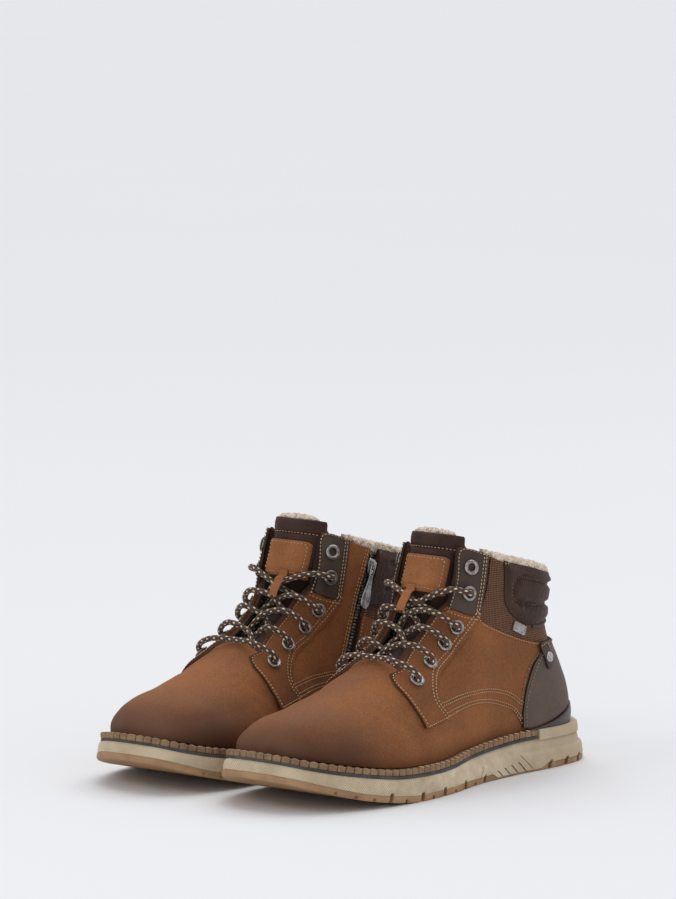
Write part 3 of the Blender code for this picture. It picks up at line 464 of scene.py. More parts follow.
# -------------------------------------------------------------- materials
def srgb(r, g, b):
    f = lambda c: c / 12.92 if c <= 0.04045 else ((c + 0.055) / 1.055) ** 2.4
    return (f(r / 255), f(g / 255), f(b / 255), 1)


class Tree:
    """Short way to add and link shader or geometry nodes."""

    def __init__(self, tree):
        self.tree = tree

    def add(self, kind, inputs=None, **values):
        node = self.tree.nodes.new(kind)
        for key, value in values.items():
            setattr(node, key, value)
        for key, value in (inputs or {}).items():
            socket = node.inputs[key]
            if isinstance(value, bpy.types.NodeSocket):
                self.tree.links.new(value, socket)
            else:
                socket.default_value = value
        return node

    def math(self, how, a, b=0.0, clamp=False):
        return self.add('ShaderNodeMath', {0: a, 1: b}, operation=how, use_clamp=clamp).outputs[0]

    def ramp(self, value, low, high, to_low=0.0, to_high=1.0):
        return self.add('ShaderNodeMapRange', {0: value, 1: low, 2: high, 3: to_low, 4: to_high},
                        interpolation_type='SMOOTHSTEP').outputs[0]

    def noise(self, vector, scale, detail=2.0, rough=0.5):
        return self.add('ShaderNodeTexNoise', {'Vector': vector, 'Scale': scale, 'Detail': detail,
                                               'Roughness': rough}).outputs[0]

    def mix(self, factor, a, b, how='MIX'):
        node = self.add('ShaderNodeMix', None, data_type='RGBA', blend_type=how)
        for index, value in ((0, factor), (6, a), (7, b)):
            if isinstance(value, bpy.types.NodeSocket):
                self.tree.links.new(value, node.inputs[index])
            else:
                node.inputs[index].default_value = value
        return node.outputs[2]


def leather_group():
    """Tone and height of leather: broad mottling, fine pores and a fine nap."""
    group = bpy.data.node_groups.new("leather_surface", 'ShaderNodeTree')
    for name, kind in (("Vector", 'NodeSocketVector'), ("Pore Scale", 'NodeSocketFloat'),
                       ("Mottle Scale", 'NodeSocketFloat'), ("Pore Depth", 'NodeSocketFloat')):
        group.interface.new_socket(name, in_out='INPUT', socket_type=kind)
    for name in ("Tone", "Height", "Nap"):
        group.interface.new_socket(name, in_out='OUTPUT', socket_type='NodeSocketFloat')
    t = Tree(group)
    ins = t.add('NodeGroupInput').outputs
    broad = t.noise(ins['Vector'], ins['Mottle Scale'], 5.0, 0.6)
    pores = t.add('ShaderNodeTexVoronoi', {'Vector': ins['Vector'], 'Scale': ins['Pore Scale']},
                  feature='SMOOTH_F1').outputs[0]
    nap = t.noise(ins['Vector'], 900.0, 3.0, 0.7)
    height = t.math('ADD', t.math('MULTIPLY', pores, ins['Pore Depth']), t.math('MULTIPLY', nap, 0.35))
    out = t.add('NodeGroupOutput')
    for name, socket in (("Tone", broad), ("Height", height), ("Nap", nap)):
        group.links.new(socket, out.inputs[name])
    return group


def weave_group():
    """Over-and-under weave on Object coordinates or a UV map: height and a thread mask."""
    group = bpy.data.node_groups.new("weave_surface", 'ShaderNodeTree')
    for name, kind in (("Vector", 'NodeSocketVector'), ("Threads", 'NodeSocketFloat')):
        group.interface.new_socket(name, in_out='INPUT', socket_type=kind)
    for name in ("Height", "Thread"):
        group.interface.new_socket(name, in_out='OUTPUT', socket_type='NodeSocketFloat')
    t = Tree(group)
    ins = t.add('NodeGroupInput').outputs
    parts = t.add('ShaderNodeSeparateXYZ', {0: ins['Vector']}).outputs
    a = t.math('MULTIPLY', parts[0], ins['Threads'])
    b = t.math('MULTIPLY', parts[1], ins['Threads'])
    wave = lambda s: t.math('SINE', t.math('MULTIPLY', s, math.pi))
    product = t.math('MULTIPLY', wave(a), wave(b))
    height = t.math('ABSOLUTE', product)
    thread = t.ramp(product, -0.2, 0.2)
    out = t.add('NodeGroupOutput')
    group.links.new(height, out.inputs["Height"])
    group.links.new(thread, out.inputs["Thread"])
    return group


LEATHER_SURFACE, WEAVE_SURFACE = leather_group(), weave_group()


def new_material(name, rough, metallic=0.0, sheen=0.0, coat=0.0):
    mat = bpy.data.materials.new(name)
    mat.use_nodes = True
    t = Tree(mat.node_tree)
    shader = mat.node_tree.nodes["Principled BSDF"]
    shader.inputs["Roughness"].default_value = rough
    shader.inputs["Metallic"].default_value = metallic
    shader.inputs["Sheen Weight"].default_value = sheen
    shader.inputs["Coat Weight"].default_value = coat
    shader.inputs["Specular IOR Level"].default_value = 0.22
    at = t.add('ShaderNodeTexCoord').outputs
    return mat, t, shader, at


def bump(t, shader, height, strength, distance):
    node = t.add('ShaderNodeBump', {'Height': height, 'Strength': strength, 'Distance': distance})
    t.tree.links.new(node.outputs[0], shader.inputs["Normal"])


def leather(name, colour, dark, rough=0.7, pores=380.0, depth=0.5, strength=0.35, sheen=0.0, nap=0.25,
            burnish=None, mottle=22.0):
    """Leather with mottled colour, a fine nap and, where asked, a burnished toe, darker along the foot of the
    upper, with a painted highlight on the tip of the toe.
    """
    mat, t, shader, at = new_material(name, rough, sheen=sheen)
    surface = t.add('ShaderNodeGroup', node_tree=LEATHER_SURFACE)
    for key, value in (("Pore Scale", pores), ("Mottle Scale", mottle), ("Pore Depth", depth)):
        surface.inputs[key].default_value = value
    t.tree.links.new(at['Object'], surface.inputs["Vector"])
    tone = t.ramp(surface.outputs["Tone"], 0.32, 0.68)
    tint = t.mix(tone, dark, colour)
    speck = t.ramp(surface.outputs["Nap"], 0.35, 0.7, 1 - nap, 1 + nap * 0.6)
    grey = t.add('ShaderNodeCombineXYZ', {0: speck, 1: speck, 2: speck}).outputs[0]
    tint = t.mix(1.0, tint, grey, 'MULTIPLY')
    if burnish:
        where = t.add('ShaderNodeSeparateXYZ', {0: at['Object']}).outputs
        cloud = t.noise(at['Object'], 16.0, 4.0)
        y = t.math('ADD', where[1], t.math('MULTIPLY', cloud, 0.03))
        z = t.math('ADD', where[2], t.math('MULTIPLY', cloud, 0.02))
        toe = t.ramp(y, -0.045, -0.105)
        low = t.ramp(z, 0.074, 0.046)
        mask = t.math('MULTIPLY', toe, t.math('ADD', t.math('MULTIPLY', low, 0.75), 0.12), True)
        tint = t.mix(mask, tint, burnish)
        # painted highlight: the tip of the toe is painted lighter
        tip = t.math('MULTIPLY', t.ramp(y, -0.115, -0.135), 0.45)
        tint = t.mix(tip, tint, srgb(132, 98, 78))
        edge = t.math('MULTIPLY', t.ramp(where[2], 0.036, 0.024), 0.35)
        tint = t.mix(edge, tint, srgb(70, 42, 30))
    t.tree.links.new(tint, shader.inputs["Base Color"])
    t.tree.links.new(t.ramp(surface.outputs["Tone"], 0.3, 0.7, rough - 0.08, rough + 0.1),
                     shader.inputs["Roughness"])
    bump(t, shader, surface.outputs["Height"], strength, 0.0004)
    return mat


def plain(name, colour, other, rough, scale=60.0, metallic=0.0, strength=0.15, fine=700.0, coat=0.0,
          contrast=(0.35, 0.65)):
    """Moulded rubber, metal or fibre: two close tones, a fine skin and small scuffs."""
    mat, t, shader, at = new_material(name, rough, metallic, coat=coat)
    cloud = t.noise(at['Object'], scale, 6.0, 0.65)
    fine_noise = t.noise(at['Object'], fine, 3.0)
    tint = t.mix(t.ramp(cloud, *contrast), other, colour)
    t.tree.links.new(tint, shader.inputs["Base Color"])
    t.tree.links.new(t.ramp(cloud, 0.3, 0.7, rough - 0.07, rough + 0.1), shader.inputs["Roughness"])
    bump(t, shader, fine_noise, strength, 0.0003)
    return mat


def woven(name, colour, dark, threads=700.0, rough=0.85, strength=0.8):
    """Coarse woven cloth on Object coordinates."""
    mat, t, shader, at = new_material(name, rough, sheen=0.1)
    grid = t.add('ShaderNodeGroup', node_tree=WEAVE_SURFACE)
    parts = t.add('ShaderNodeSeparateXYZ', {0: at['Object']}).outputs
    flat = t.add('ShaderNodeCombineXYZ', {0: parts[1], 1: parts[2]}).outputs[0]
    t.tree.links.new(flat, grid.inputs["Vector"])
    grid.inputs["Threads"].default_value = threads
    cloud = t.noise(at['Object'], 260.0)
    # threads painted lighter where they rise and darker where they dip under: painted shade, varied by a
    # random cloud
    shade_of = t.math('MULTIPLY', t.ramp(grid.outputs["Height"], 0.0, 0.75),
                      t.ramp(cloud, 0.3, 0.7, 0.75, 1.0))
    tint = t.mix(shade_of, dark, colour)
    t.tree.links.new(tint, shader.inputs["Base Color"])
    bump(t, shader, grid.outputs["Height"], strength, 0.0006)
    return mat


def fleece_material():
    mat, t, shader, at = new_material("curly_fleece", 0.95, sheen=0.5)
    curls = t.add('ShaderNodeTexVoronoi', {'Vector': at['Object'], 'Scale': 420.0},
                  feature='SMOOTH_F1').outputs[0]
    cloud = t.noise(at['Object'], 160.0, 5.0)
    depth = t.math('ADD', t.math('MULTIPLY', curls, 0.7), t.math('MULTIPLY', cloud, 0.6))
    # darker where the fleece dips between curls: painted shade between the curls, mixed with a random cloud
    # tone
    tint = t.mix(t.ramp(depth, 0.3, 0.95), srgb(246, 232, 216), srgb(206, 184, 164))
    t.tree.links.new(tint, shader.inputs["Base Color"])
    bump(t, shader, t.math('MULTIPLY', depth, -1.0), 0.6, 0.0012)
    return mat


def lace_material():
    """Round braid: brown strands crossing on the diagonal with pairs of pale flecks."""
    mat, t, shader, at = new_material("flecked_braid", 0.85, sheen=0.2)
    uv = t.add('ShaderNodeSeparateXYZ', {0: at['UV']}).outputs
    around = t.math('MULTIPLY', uv[0], 6.0)
    run = t.math('MULTIPLY', uv[1], 1.0 / 3.2)
    a, b = t.math('ADD', run, around), t.math('SUBTRACT', run, around)
    fa, fb = t.math('FRACT', a), t.math('FRACT', b)
    strand = lambda f: t.math('SINE', t.math('MULTIPLY', f, math.pi))
    odd = t.math('MODULO', t.math('ADD', t.math('FLOOR', a), t.math('FLOOR', b)), 2.0)
    odd = t.math('ABSOLUTE', odd)
    over = t.math('GREATER_THAN', odd, 0.5)
    height = t.add('ShaderNodeMix', {0: over, 2: strand(fa), 3: strand(fb)}).outputs[0]
    every = lambda s, n, k: t.math('LESS_THAN', t.math('ABSOLUTE', t.math('SUBTRACT', t.math(
        'FLOORED_MODULO', t.math('FLOOR', s), n), k)), 0.5)
    pale = t.math('MULTIPLY', every(a, 2.0, 1.0), over)
    pale = t.math('MULTIPLY', pale, t.math('GREATER_THAN', strand(fb), 0.15))
    pale = t.math('MULTIPLY', pale, t.math('GREATER_THAN', strand(fa), 0.42))
    cloud = t.noise(at['Object'], 900.0)
    # strands painted lighter on their crowns and darker in the hollows between them: painted shade, varied by
    # a random cloud
    brown = t.mix(t.math('MULTIPLY', height, t.ramp(cloud, 0.3, 0.7, 0.5, 1.0)), srgb(44, 30, 26),
                  srgb(112, 84, 72))
    tint = t.mix(pale, brown, srgb(232, 214, 180))
    t.tree.links.new(tint, shader.inputs["Base Color"])
    bump(t, shader, height, 0.7, 0.0006)
    return mat


def foam_material():
    """Cream midsole: worn foam with a fine diamond pattern round the front half."""
    mat, t, shader, at = new_material("cream_midsole", 0.68)
    uv = t.add('ShaderNodeSeparateXYZ', {0: at['UV']}).outputs
    a = t.math('ADD', uv[0], uv[1])
    b = t.math('SUBTRACT', uv[0], uv[1])
    line = lambda s: t.math('ABSOLUTE', t.math('SINE', t.math('MULTIPLY', s, math.pi / 1.9)))
    cut = t.math('MINIMUM', line(a), line(b))
    groove = t.ramp(cut, 0.0, 0.42)
    where = t.add('ShaderNodeSeparateXYZ', {0: at['Object']}).outputs
    front = t.ramp(where[1], -0.028, -0.052)
    keep = t.math('SUBTRACT', 1.0, t.math('MULTIPLY', t.math('SUBTRACT', 1.0, groove), front))
    cloud = t.noise(at['Object'], 55.0, 8.0, 0.7)
    worn = t.mix(t.ramp(cloud, 0.34, 0.66), srgb(204, 186, 156), srgb(230, 214, 184))
    heel = t.math('MULTIPLY', t.ramp(where[1], 0.0, 0.13), 0.75)
    tint = t.mix(heel, worn, srgb(178, 160, 132))
    # the grooves of the diamond pattern are painted darker: painted shade in the grooves
    tint = t.mix(t.math('MULTIPLY', t.math('SUBTRACT', 1.0, keep), 0.8), tint, srgb(150, 122, 82))
    t.tree.links.new(tint, shader.inputs["Base Color"])
    fine = t.noise(at['Object'], 500.0, 4.0)
    height = t.math('ADD', t.math('MULTIPLY', keep, 0.8), t.math('MULTIPLY', fine, 0.25))
    bump(t, shader, height, 0.5, 0.0005)
    return mat


TAN, TAN_DARK = srgb(158, 101, 60), srgb(136, 85, 49)
nubuck = leather("tan_nubuck", TAN, TAN_DARK, 0.74, burnish=srgb(80, 52, 40), nap=0.22)
nubuck_trim = leather("tan_nubuck_trim", srgb(148, 93, 55), srgb(124, 77, 44), 0.72, nap=0.22)
patch_leather = leather("cognac_patch", srgb(172, 112, 68), srgb(150, 95, 56), 0.7, nap=0.18)
taupe_leather = leather("taupe_leather", srgb(90, 76, 68), srgb(74, 61, 54), 0.55, nap=0.1, sheen=0.0)
counter_leather = leather("taupe_counter", srgb(108, 91, 82), srgb(92, 77, 69), 0.6, nap=0.12, sheen=0.0)
dark_leather = leather("dark_grained_leather", srgb(76, 52, 43), srgb(52, 34, 28), 0.52, pores=620.0,
                       depth=1.6, strength=0.6, sheen=0.0, nap=0.12)
textile = woven("brown_coarse_weave", srgb(140, 96, 66), srgb(66, 42, 28))
welt_rubber = plain("welt_brown", srgb(158, 128, 100), srgb(132, 104, 80), 0.7, 90.0)
band_grey = plain("grey_band", srgb(112, 110, 108), srgb(88, 86, 86), 0.7)
gum = plain("gum_rubber", srgb(182, 146, 110), srgb(160, 125, 92), 0.66, 45.0)
clip_plastic = plain("purple_grey_clip", srgb(84, 75, 77), srgb(69, 61, 64), 0.42, 40.0, coat=0.1)
nickel = plain("antique_nickel", srgb(190, 188, 184), srgb(124, 120, 116), 0.34, 300.0, 1.0, 0.1)
silver = plain("polished_silver", srgb(214, 214, 216), srgb(150, 150, 152), 0.24, 200.0, 1.0, 0.05)
zip_black = woven("zip_tape_weave", srgb(66, 54, 46), srgb(24, 20, 18), 1100.0)
board_fibre = plain("insole_fibre", srgb(176, 150, 118), srgb(150, 124, 92), 0.9, 120.0, strength=0.4)
stiff_fibre = plain("stiffener_fibre", srgb(170, 160, 145), srgb(140, 130, 116), 0.85, 120.0)
label_metal = plain("label_grey", srgb(190, 188, 184), srgb(150, 148, 144), 0.45, 250.0, 0.6, 0.1)
thread_pale = plain("thread_pale", srgb(214, 184, 146), srgb(188, 154, 116), 0.75, 900.0, strength=0.3)
thread_dull = plain("thread_dull", srgb(170, 138, 106), srgb(136, 106, 80), 0.75, 900.0, strength=0.3)
thread_grey = plain("thread_grey", srgb(170, 152, 128), srgb(130, 112, 92), 0.75, 900.0, strength=0.3)
cut_edge = leather("cut_leather_edge", srgb(92, 58, 38), srgb(70, 44, 30), 0.8, nap=0.1)
cut_taupe = leather("cut_taupe_edge", srgb(62, 50, 44), srgb(48, 39, 34), 0.8, nap=0.1)
fleece, braid, foam = fleece_material(), lace_material(), foam_material()


# ---------------------------------------------------------- placing pieces
def place(name, mesh, material, stands_for=(), body="boots", edge=None):
    """Puts a left-boot mesh in the row frame as a left and a right piece."""
    made = []
    for prefix, side in SIDES:
        bm = bmesh.new()
        bm.from_mesh(mesh)
        for v in bm.verts:
            v.co = Vector((side * (v.co.x + HALF_SPACING), v.co.y - CENTRE_Y, v.co.z)) * MM
        if side < 0:
            bmesh.ops.reverse_faces(bm, faces=bm.faces)
        out = bpy.data.meshes.new(prefix + name)
        bm.to_mesh(out)
        bm.free()
        out.materials.clear()
        out.materials.append(material)
        if edge:                    # cut edges run square to the side view
            out.materials.append(edge)
            flags = [1 if abs(f.normal.x) < 0.01 else 0 for f in out.polygons]
            out.polygons.foreach_set("material_index", flags)
        obj = bpy.data.objects.new(prefix + name, out)
        bpy.context.scene.collection.objects.link(obj)
        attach(obj, body if body == "boots" else prefix + body)
        if stands_for:
            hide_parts(*[prefix + node for node in stands_for])
        made.append(obj)
    return made


# ------------------------------------------------- things set out along paths
def repeat_tree(name, shape):
    """Geometry Nodes tree: a small shape set out evenly along lines, aligned with them."""
    tree = bpy.data.node_groups.new(name, 'GeometryNodeTree')
    face = tree.interface
    face.new_socket("Geometry", in_out='INPUT', socket_type='NodeSocketGeometry')
    for label, value in (("Spacing", 2.4), ("Length", 1.7), ("Width", 0.7), ("Height", 0.6)):
        socket = face.new_socket(label, in_out='INPUT', socket_type='NodeSocketFloat')
        socket.default_value = value
    face.new_socket("Material", in_out='INPUT', socket_type='NodeSocketMaterial')
    face.new_socket("Geometry", in_out='OUTPUT', socket_type='NodeSocketGeometry')
    t = Tree(tree)
    ins = t.add('NodeGroupInput').outputs
    line = t.add('GeometryNodeMeshToCurve', {0: ins[0]}).outputs[0]
    even = t.add('GeometryNodeResampleCurve', None, mode='LENGTH')
    tree.links.new(line, even.inputs['Curve'])
    tree.links.new(ins["Spacing"], even.inputs['Length'])
    tangent = t.add('GeometryNodeInputTangent').outputs[0]
    lay = t.add('FunctionNodeAlignRotationToVector', {'Vector': tangent}, axis='X').outputs[0]
    size = t.add('ShaderNodeCombineXYZ', {0: ins["Length"], 1: ins["Width"], 2: ins["Height"]}).outputs[0]
    if shape == 'bead':
        item = t.add('GeometryNodeMeshUVSphere', {'Segments': 6, 'Rings': 5, 'Radius': 0.5}).outputs[0]
    else:
        item = t.add('GeometryNodeMeshCube', {'Size': (1.0, 1.0, 1.0)}).outputs[0]
    put = t.add('GeometryNodeInstanceOnPoints', {'Points': even.outputs[0], 'Instance': item,
                                                 'Rotation': lay, 'Scale': size}).outputs[0]
    real = t.add('GeometryNodeRealizeInstances', {0: put}).outputs[0]
    soft = t.add('GeometryNodeSetShadeSmooth', {0: real, 'Shade Smooth': shape == 'bead'}).outputs[0]
    done = t.add('GeometryNodeSetMaterial', {0: soft, 'Material': ins["Material"]}).outputs[0]
    tree.links.new(done, t.add('NodeGroupOutput').inputs[0])
    return tree


def socket_id(tree, label):
    return next(s.identifier for s in tree.interface.items_tree
                if s.in_out == 'INPUT' and s.name == label)


def grown(mesh, tree, material, **values):
    """Runs a tree on a mesh and gives back the plain result."""
    obj = loose_object(mesh)
    mod = obj.modifiers.new("grow", 'NODES')
    mod.node_group = tree
    mod[socket_id(tree, "Material")] = material
    for label, value in values.items():
        mod[socket_id(tree, label)] = value
    return baked(obj)


def lines_mesh(lines):
    """Open lines as a mesh of edges."""
    verts, edges = [], []
    for line in lines:
        start = len(verts)
        verts += [tuple(float(c) for c in p) for p in line]
        edges += [(start + i, start + i + 1) for i in range(len(line) - 1)]
    mesh = bpy.data.meshes.new("lines")
    mesh.from_pydata(verts, edges, [])
    return mesh


stitch_tree = repeat_tree("sewn_stitches", 'bead')
tooth_tree = repeat_tree("set_blocks", 'cube')


def stitches(lines, material, spacing=2.4, length=1.75, width=0.95, height=0.6):
    return grown(lines_mesh(lines), stitch_tree, material, Spacing=spacing, Length=length,
                 Width=width, Height=height)


def sweep(line, radius, sides=12):
    """Round tube along a 3-D line with a UV map: around, then run in millimetres."""
    line = np.asarray(line, float)
    t = unit(np.gradient(line, axis=0))
    normal = np.array([0.0, 0.0, 1.0])
    if abs(t[0] @ normal) > 0.9:
        normal = np.array([0.0, 1.0, 0.0])
    rings, run = [], run_of(line)
    for i, p in enumerate(line):
        normal = normal - t[i] * (normal @ t[i])
        normal /= np.linalg.norm(normal)
        side = np.cross(t[i], normal)
        r = radius if np.isscalar(radius) else radius[i]
        ang = np.linspace(0, 2 * math.pi, sides, endpoint=False)
        rings.append(p + r * (np.cos(ang)[:, None] * normal + np.sin(ang)[:, None] * side))
    verts = np.concatenate(rings)
    faces, uvs = [], []
    for i in range(len(line) - 1):
        for j in range(sides):
            k = (j + 1) % sides
            faces.append((i * sides + j, i * sides + k, (i + 1) * sides + k, (i + 1) * sides + j))
            a, b = j / sides, (j + 1) / sides
            uvs.append([(a, run[i]), (b, run[i]), (b, run[i + 1]), (a, run[i + 1])])
    for base, order in ((0, range(sides)), ((len(line) - 1) * sides, reversed(range(sides)))):
        faces.append(tuple(base + j for j in order))
        uvs.append([(0.0, 0.0)] * sides)
    return mesh_of("tube", verts, faces, uvs, weld=0, crease=60)


# ---------------------------------------------------------------- uppers
LAT, MED, BOTH = (0.15, 90.0), (-90.0, -0.15), (-90.0, 90.0)
band_low = curved(BAND_LOW)
facing_rear = curved(FACING_REAR)
textile_low = curved(TEXTILE_LOW)
collar_front = curved(COLLAR_FRONT)
counter_front = curved(COUNTER_FRONT)
clip_top = curved(CLIP_TOP)
throat = curved(THROAT)

zip_dir = np.array(ZIP_END, float) - np.array(ZIP_TOP, float)
ZIP_LENGTH = float(np.linalg.norm(zip_dir))
zip_dir /= ZIP_LENGTH
zip_side = np.array([-zip_dir[1], zip_dir[0]])      # towards the heel


def beside_zip(step, more_top=30.0, more_end=0.0):
    a = np.array(ZIP_TOP) + zip_side * step - zip_dir * more_top
    b = np.array(ZIP_END) + zip_side * step + zip_dir * more_end
    return [tuple(a), tuple(b)]


rear_edge = np.array(beside_zip(ZIP_SLOT / 2, 8.0))


def rear_at(z):
    a, b = rear_edge
    return tuple(b + (a - b) * (z - b[1]) / (a[1] - b[1]))


# heights of the lines that go round the heel
collar_low_z = lambda y: np.interp(y, [p[0] for p in collar_front[12:]], [p[1] for p in collar_front[12:]])
QUILT_HIGH = [(64, 130.0), (70, 130.6), (84, 127.2), (100, 122.6), (124, 118.5)]
QUILT_LOW = [(66, 115.0), (72, 112.4), (86, 110.0), (104, 108.6), (124, 107.0)]
quilt_high_z = lambda y: np.interp(y, *zip(*QUILT_HIGH))
quilt_low_z = lambda y: np.interp(y, *zip(*QUILT_LOW))


def u_at(y, v=0.85, side=1):
    """Place round the boot (u) where a row of the upper has this y."""
    us = np.linspace(0.02, 1, 400)
    ys = upper(us * side, np.full(400, v))[:, 1]
    return float(np.interp(y, ys, us)) * side


def build_vamp():
    edge = [(-34, 110), (-38, 79), (-41, 62), (-45, 45)]
    outline = closed([(-170, 5), (-170, 110)], edge, band_low, [(77, 5)])
    creases = [seam_line([(-75, 60), (-62, 48), (-52, 36)], s, 0, 2) for s in (1, -1)] + \
              [seam_line([(-64, 66), (-54, 54), (-46, 45)], s, 0, 2) for s in (1, -1)]

    def puff(p, u, v):
        soft = near(p, creases, 7.0)
        wave = 0.35 * np.sin(p[..., 1] / 9.0 + p[..., 0] / 13.0) * np.sin(p[..., 2] / 8.0 + p[..., 1] / 17.0)
        return wave - 0.5 * soft
    mesh = panel(outline, BOTH, (-0.80, 0.80), -LEATHER, -0.2, (0, 0.62), 2.0, puff=puff)
    bm = bmesh.new()
    bm.from_mesh(mesh)
    tip = [v for v in bm.verts if abs(v.co.x) < 7 and v.co.y < -139]
    for _ in range(8):
        bmesh.ops.smooth_vert(bm, verts=tip, factor=0.6, use_axis_x=True, use_axis_y=True)
    bm.to_mesh(mesh)
    bm.free()
    place("vamp_leather", mesh, nubuck, ["vamp"])


def quarter_outline(side):
    back_off = 1.2 if side > 0 else 2.2
    front = [(21 + back_off, 154)] + [(y + back_off * (z > 112), z) for y, z in throat[1:]]
    base = closed(front, [(-38, 79), (-41, 62), (-45, 45)], band_low, [(77, 5), (150, 5)])
    if side > 0:
        return closed(base, [(150, 84)], textile_low[::-1], [(41, 149.4)])
    low = [p for p in textile_low[::-1] if p[0] > rear_at(93.5)[0] + 1]
    return closed(base, [(150, 84)], low, [rear_at(93.5), rear_at(146.0), (59.5, 143.5), (41, 149.4)])


def build_quarters():
    rear = seam_line(FACING_REAR, 1, 0, 2), seam_line(FACING_REAR, -1, 0, 2)

    def puff(p, u, v):
        wave = 0.3 * np.sin(p[..., 1] / 11.0) * np.sin(p[..., 2] / 9.0 + p[..., 1] / 21.0)
        return wave - 0.4 * near(p, rear, 4.0)
    lateral = panel(quarter_outline(1), LAT, (0.004, 0.999), -LEATHER, 0.15, (0, 1), 2.2, puff=puff)
    place("quarter_lateral_leather", lateral, nubuck, ["quarter_lateral"], edge=cut_edge)
    medial = panel(quarter_outline(-1), MED, (-0.999, -0.004), -LEATHER, 0.15, (0, 1), 2.2, puff=puff)
    opening = closed(beside_zip(-ZIP_SLOT / 2), beside_zip(ZIP_SLOT / 2 + 0.6)[::-1])
    medial = combine(medial, prism(opening, -90, 10, 0.0), 'DIFFERENCE')
    shade(medial, 40)
    place("quarter_medial_leather", medial, nubuck, ["quarter_medial"], edge=cut_edge)
    lat_textile = closed([(39.6, 149.4), (39.6, 170), (53, 170)], collar_front, textile_low[::-1])
    place("textile_lateral_cloth", panel(lat_textile, (0.2, 90.0), (0.35, 0.999), -LEATHER, -0.1, (0.4, 1)),
          textile, ["textile_lateral"])
    low = [p for p in textile_low if p[0] > rear_at(93.5)[0] + 1]
    med_textile = closed([rear_at(103.0)], curved([(71, 101), (86, 96), (110, 97), (135, 97)]),
                         [(135, 84)], low[::-1], [rear_at(93.5)])
    place("textile_medial_cloth", panel(med_textile, (-90.0, -0.2), (-0.999, -0.45), -LEATHER, -0.1,
                                        (0.4, 1)), textile, ["textile_medial"])


def quilt_lines(lift):
    """Two quilted lines round the heel and their round ends on the lateral side."""
    start_h, start_l = u_at(66.5, 0.85), u_at(68.5, 0.7)
    end = -u_at(72, 0.8)
    high = level_line(quilt_high_z, start_h, 2 + end, lift)
    low = level_line(quilt_low_z, start_l, 2 + end, lift)
    end_cap = seam_line([(66.5, 129.9), (62.6, 127.5), (61.4, 122.5), (62.8, 117.4), (68.5, 113.6)], 1, lift)
    return [high, low, end_cap]


def build_collar():
    lateral = closed([(53, 170)], collar_front, [(150, 97), (150, 170)])
    medial = closed([rear_at(175.0), rear_at(103.0)], curved([(71, 101), (86, 96), (110, 97), (135, 97)]),
                    [(150, 97), (150, 175)])
    grooves = quilt_lines(0.0)
    border = [seam_line(COLLAR_FRONT, 1, 0, 1.5), level_line(collar_low_z, u_at(80, 0.6), 1.35, 0.0),
              upper(np.linspace(0.4, 1, 90), np.ones(90)), upper(np.linspace(-1, -0.4, 90), np.ones(90))]

    def puff(p, u, v):
        wrinkle = 0.07 * np.sin(p[..., 1] * 1.1 + p[..., 0] * 0.6) * np.sin(p[..., 2] * 0.5)
        return 2.6 - 2.9 * near(p, grooves, 3.4) - 2.4 * near(p, border, 4.5) + wrinkle
    u0 = u_at(50, 0.9)
    mesh = panel(lateral, BOTH, (u0, 2 - u0), -LEATHER, 0.2, (0.55, 1), 1.25, 1.2, puff, medial, 50)
    place("collar_padding", mesh, dark_leather, ["collar"])


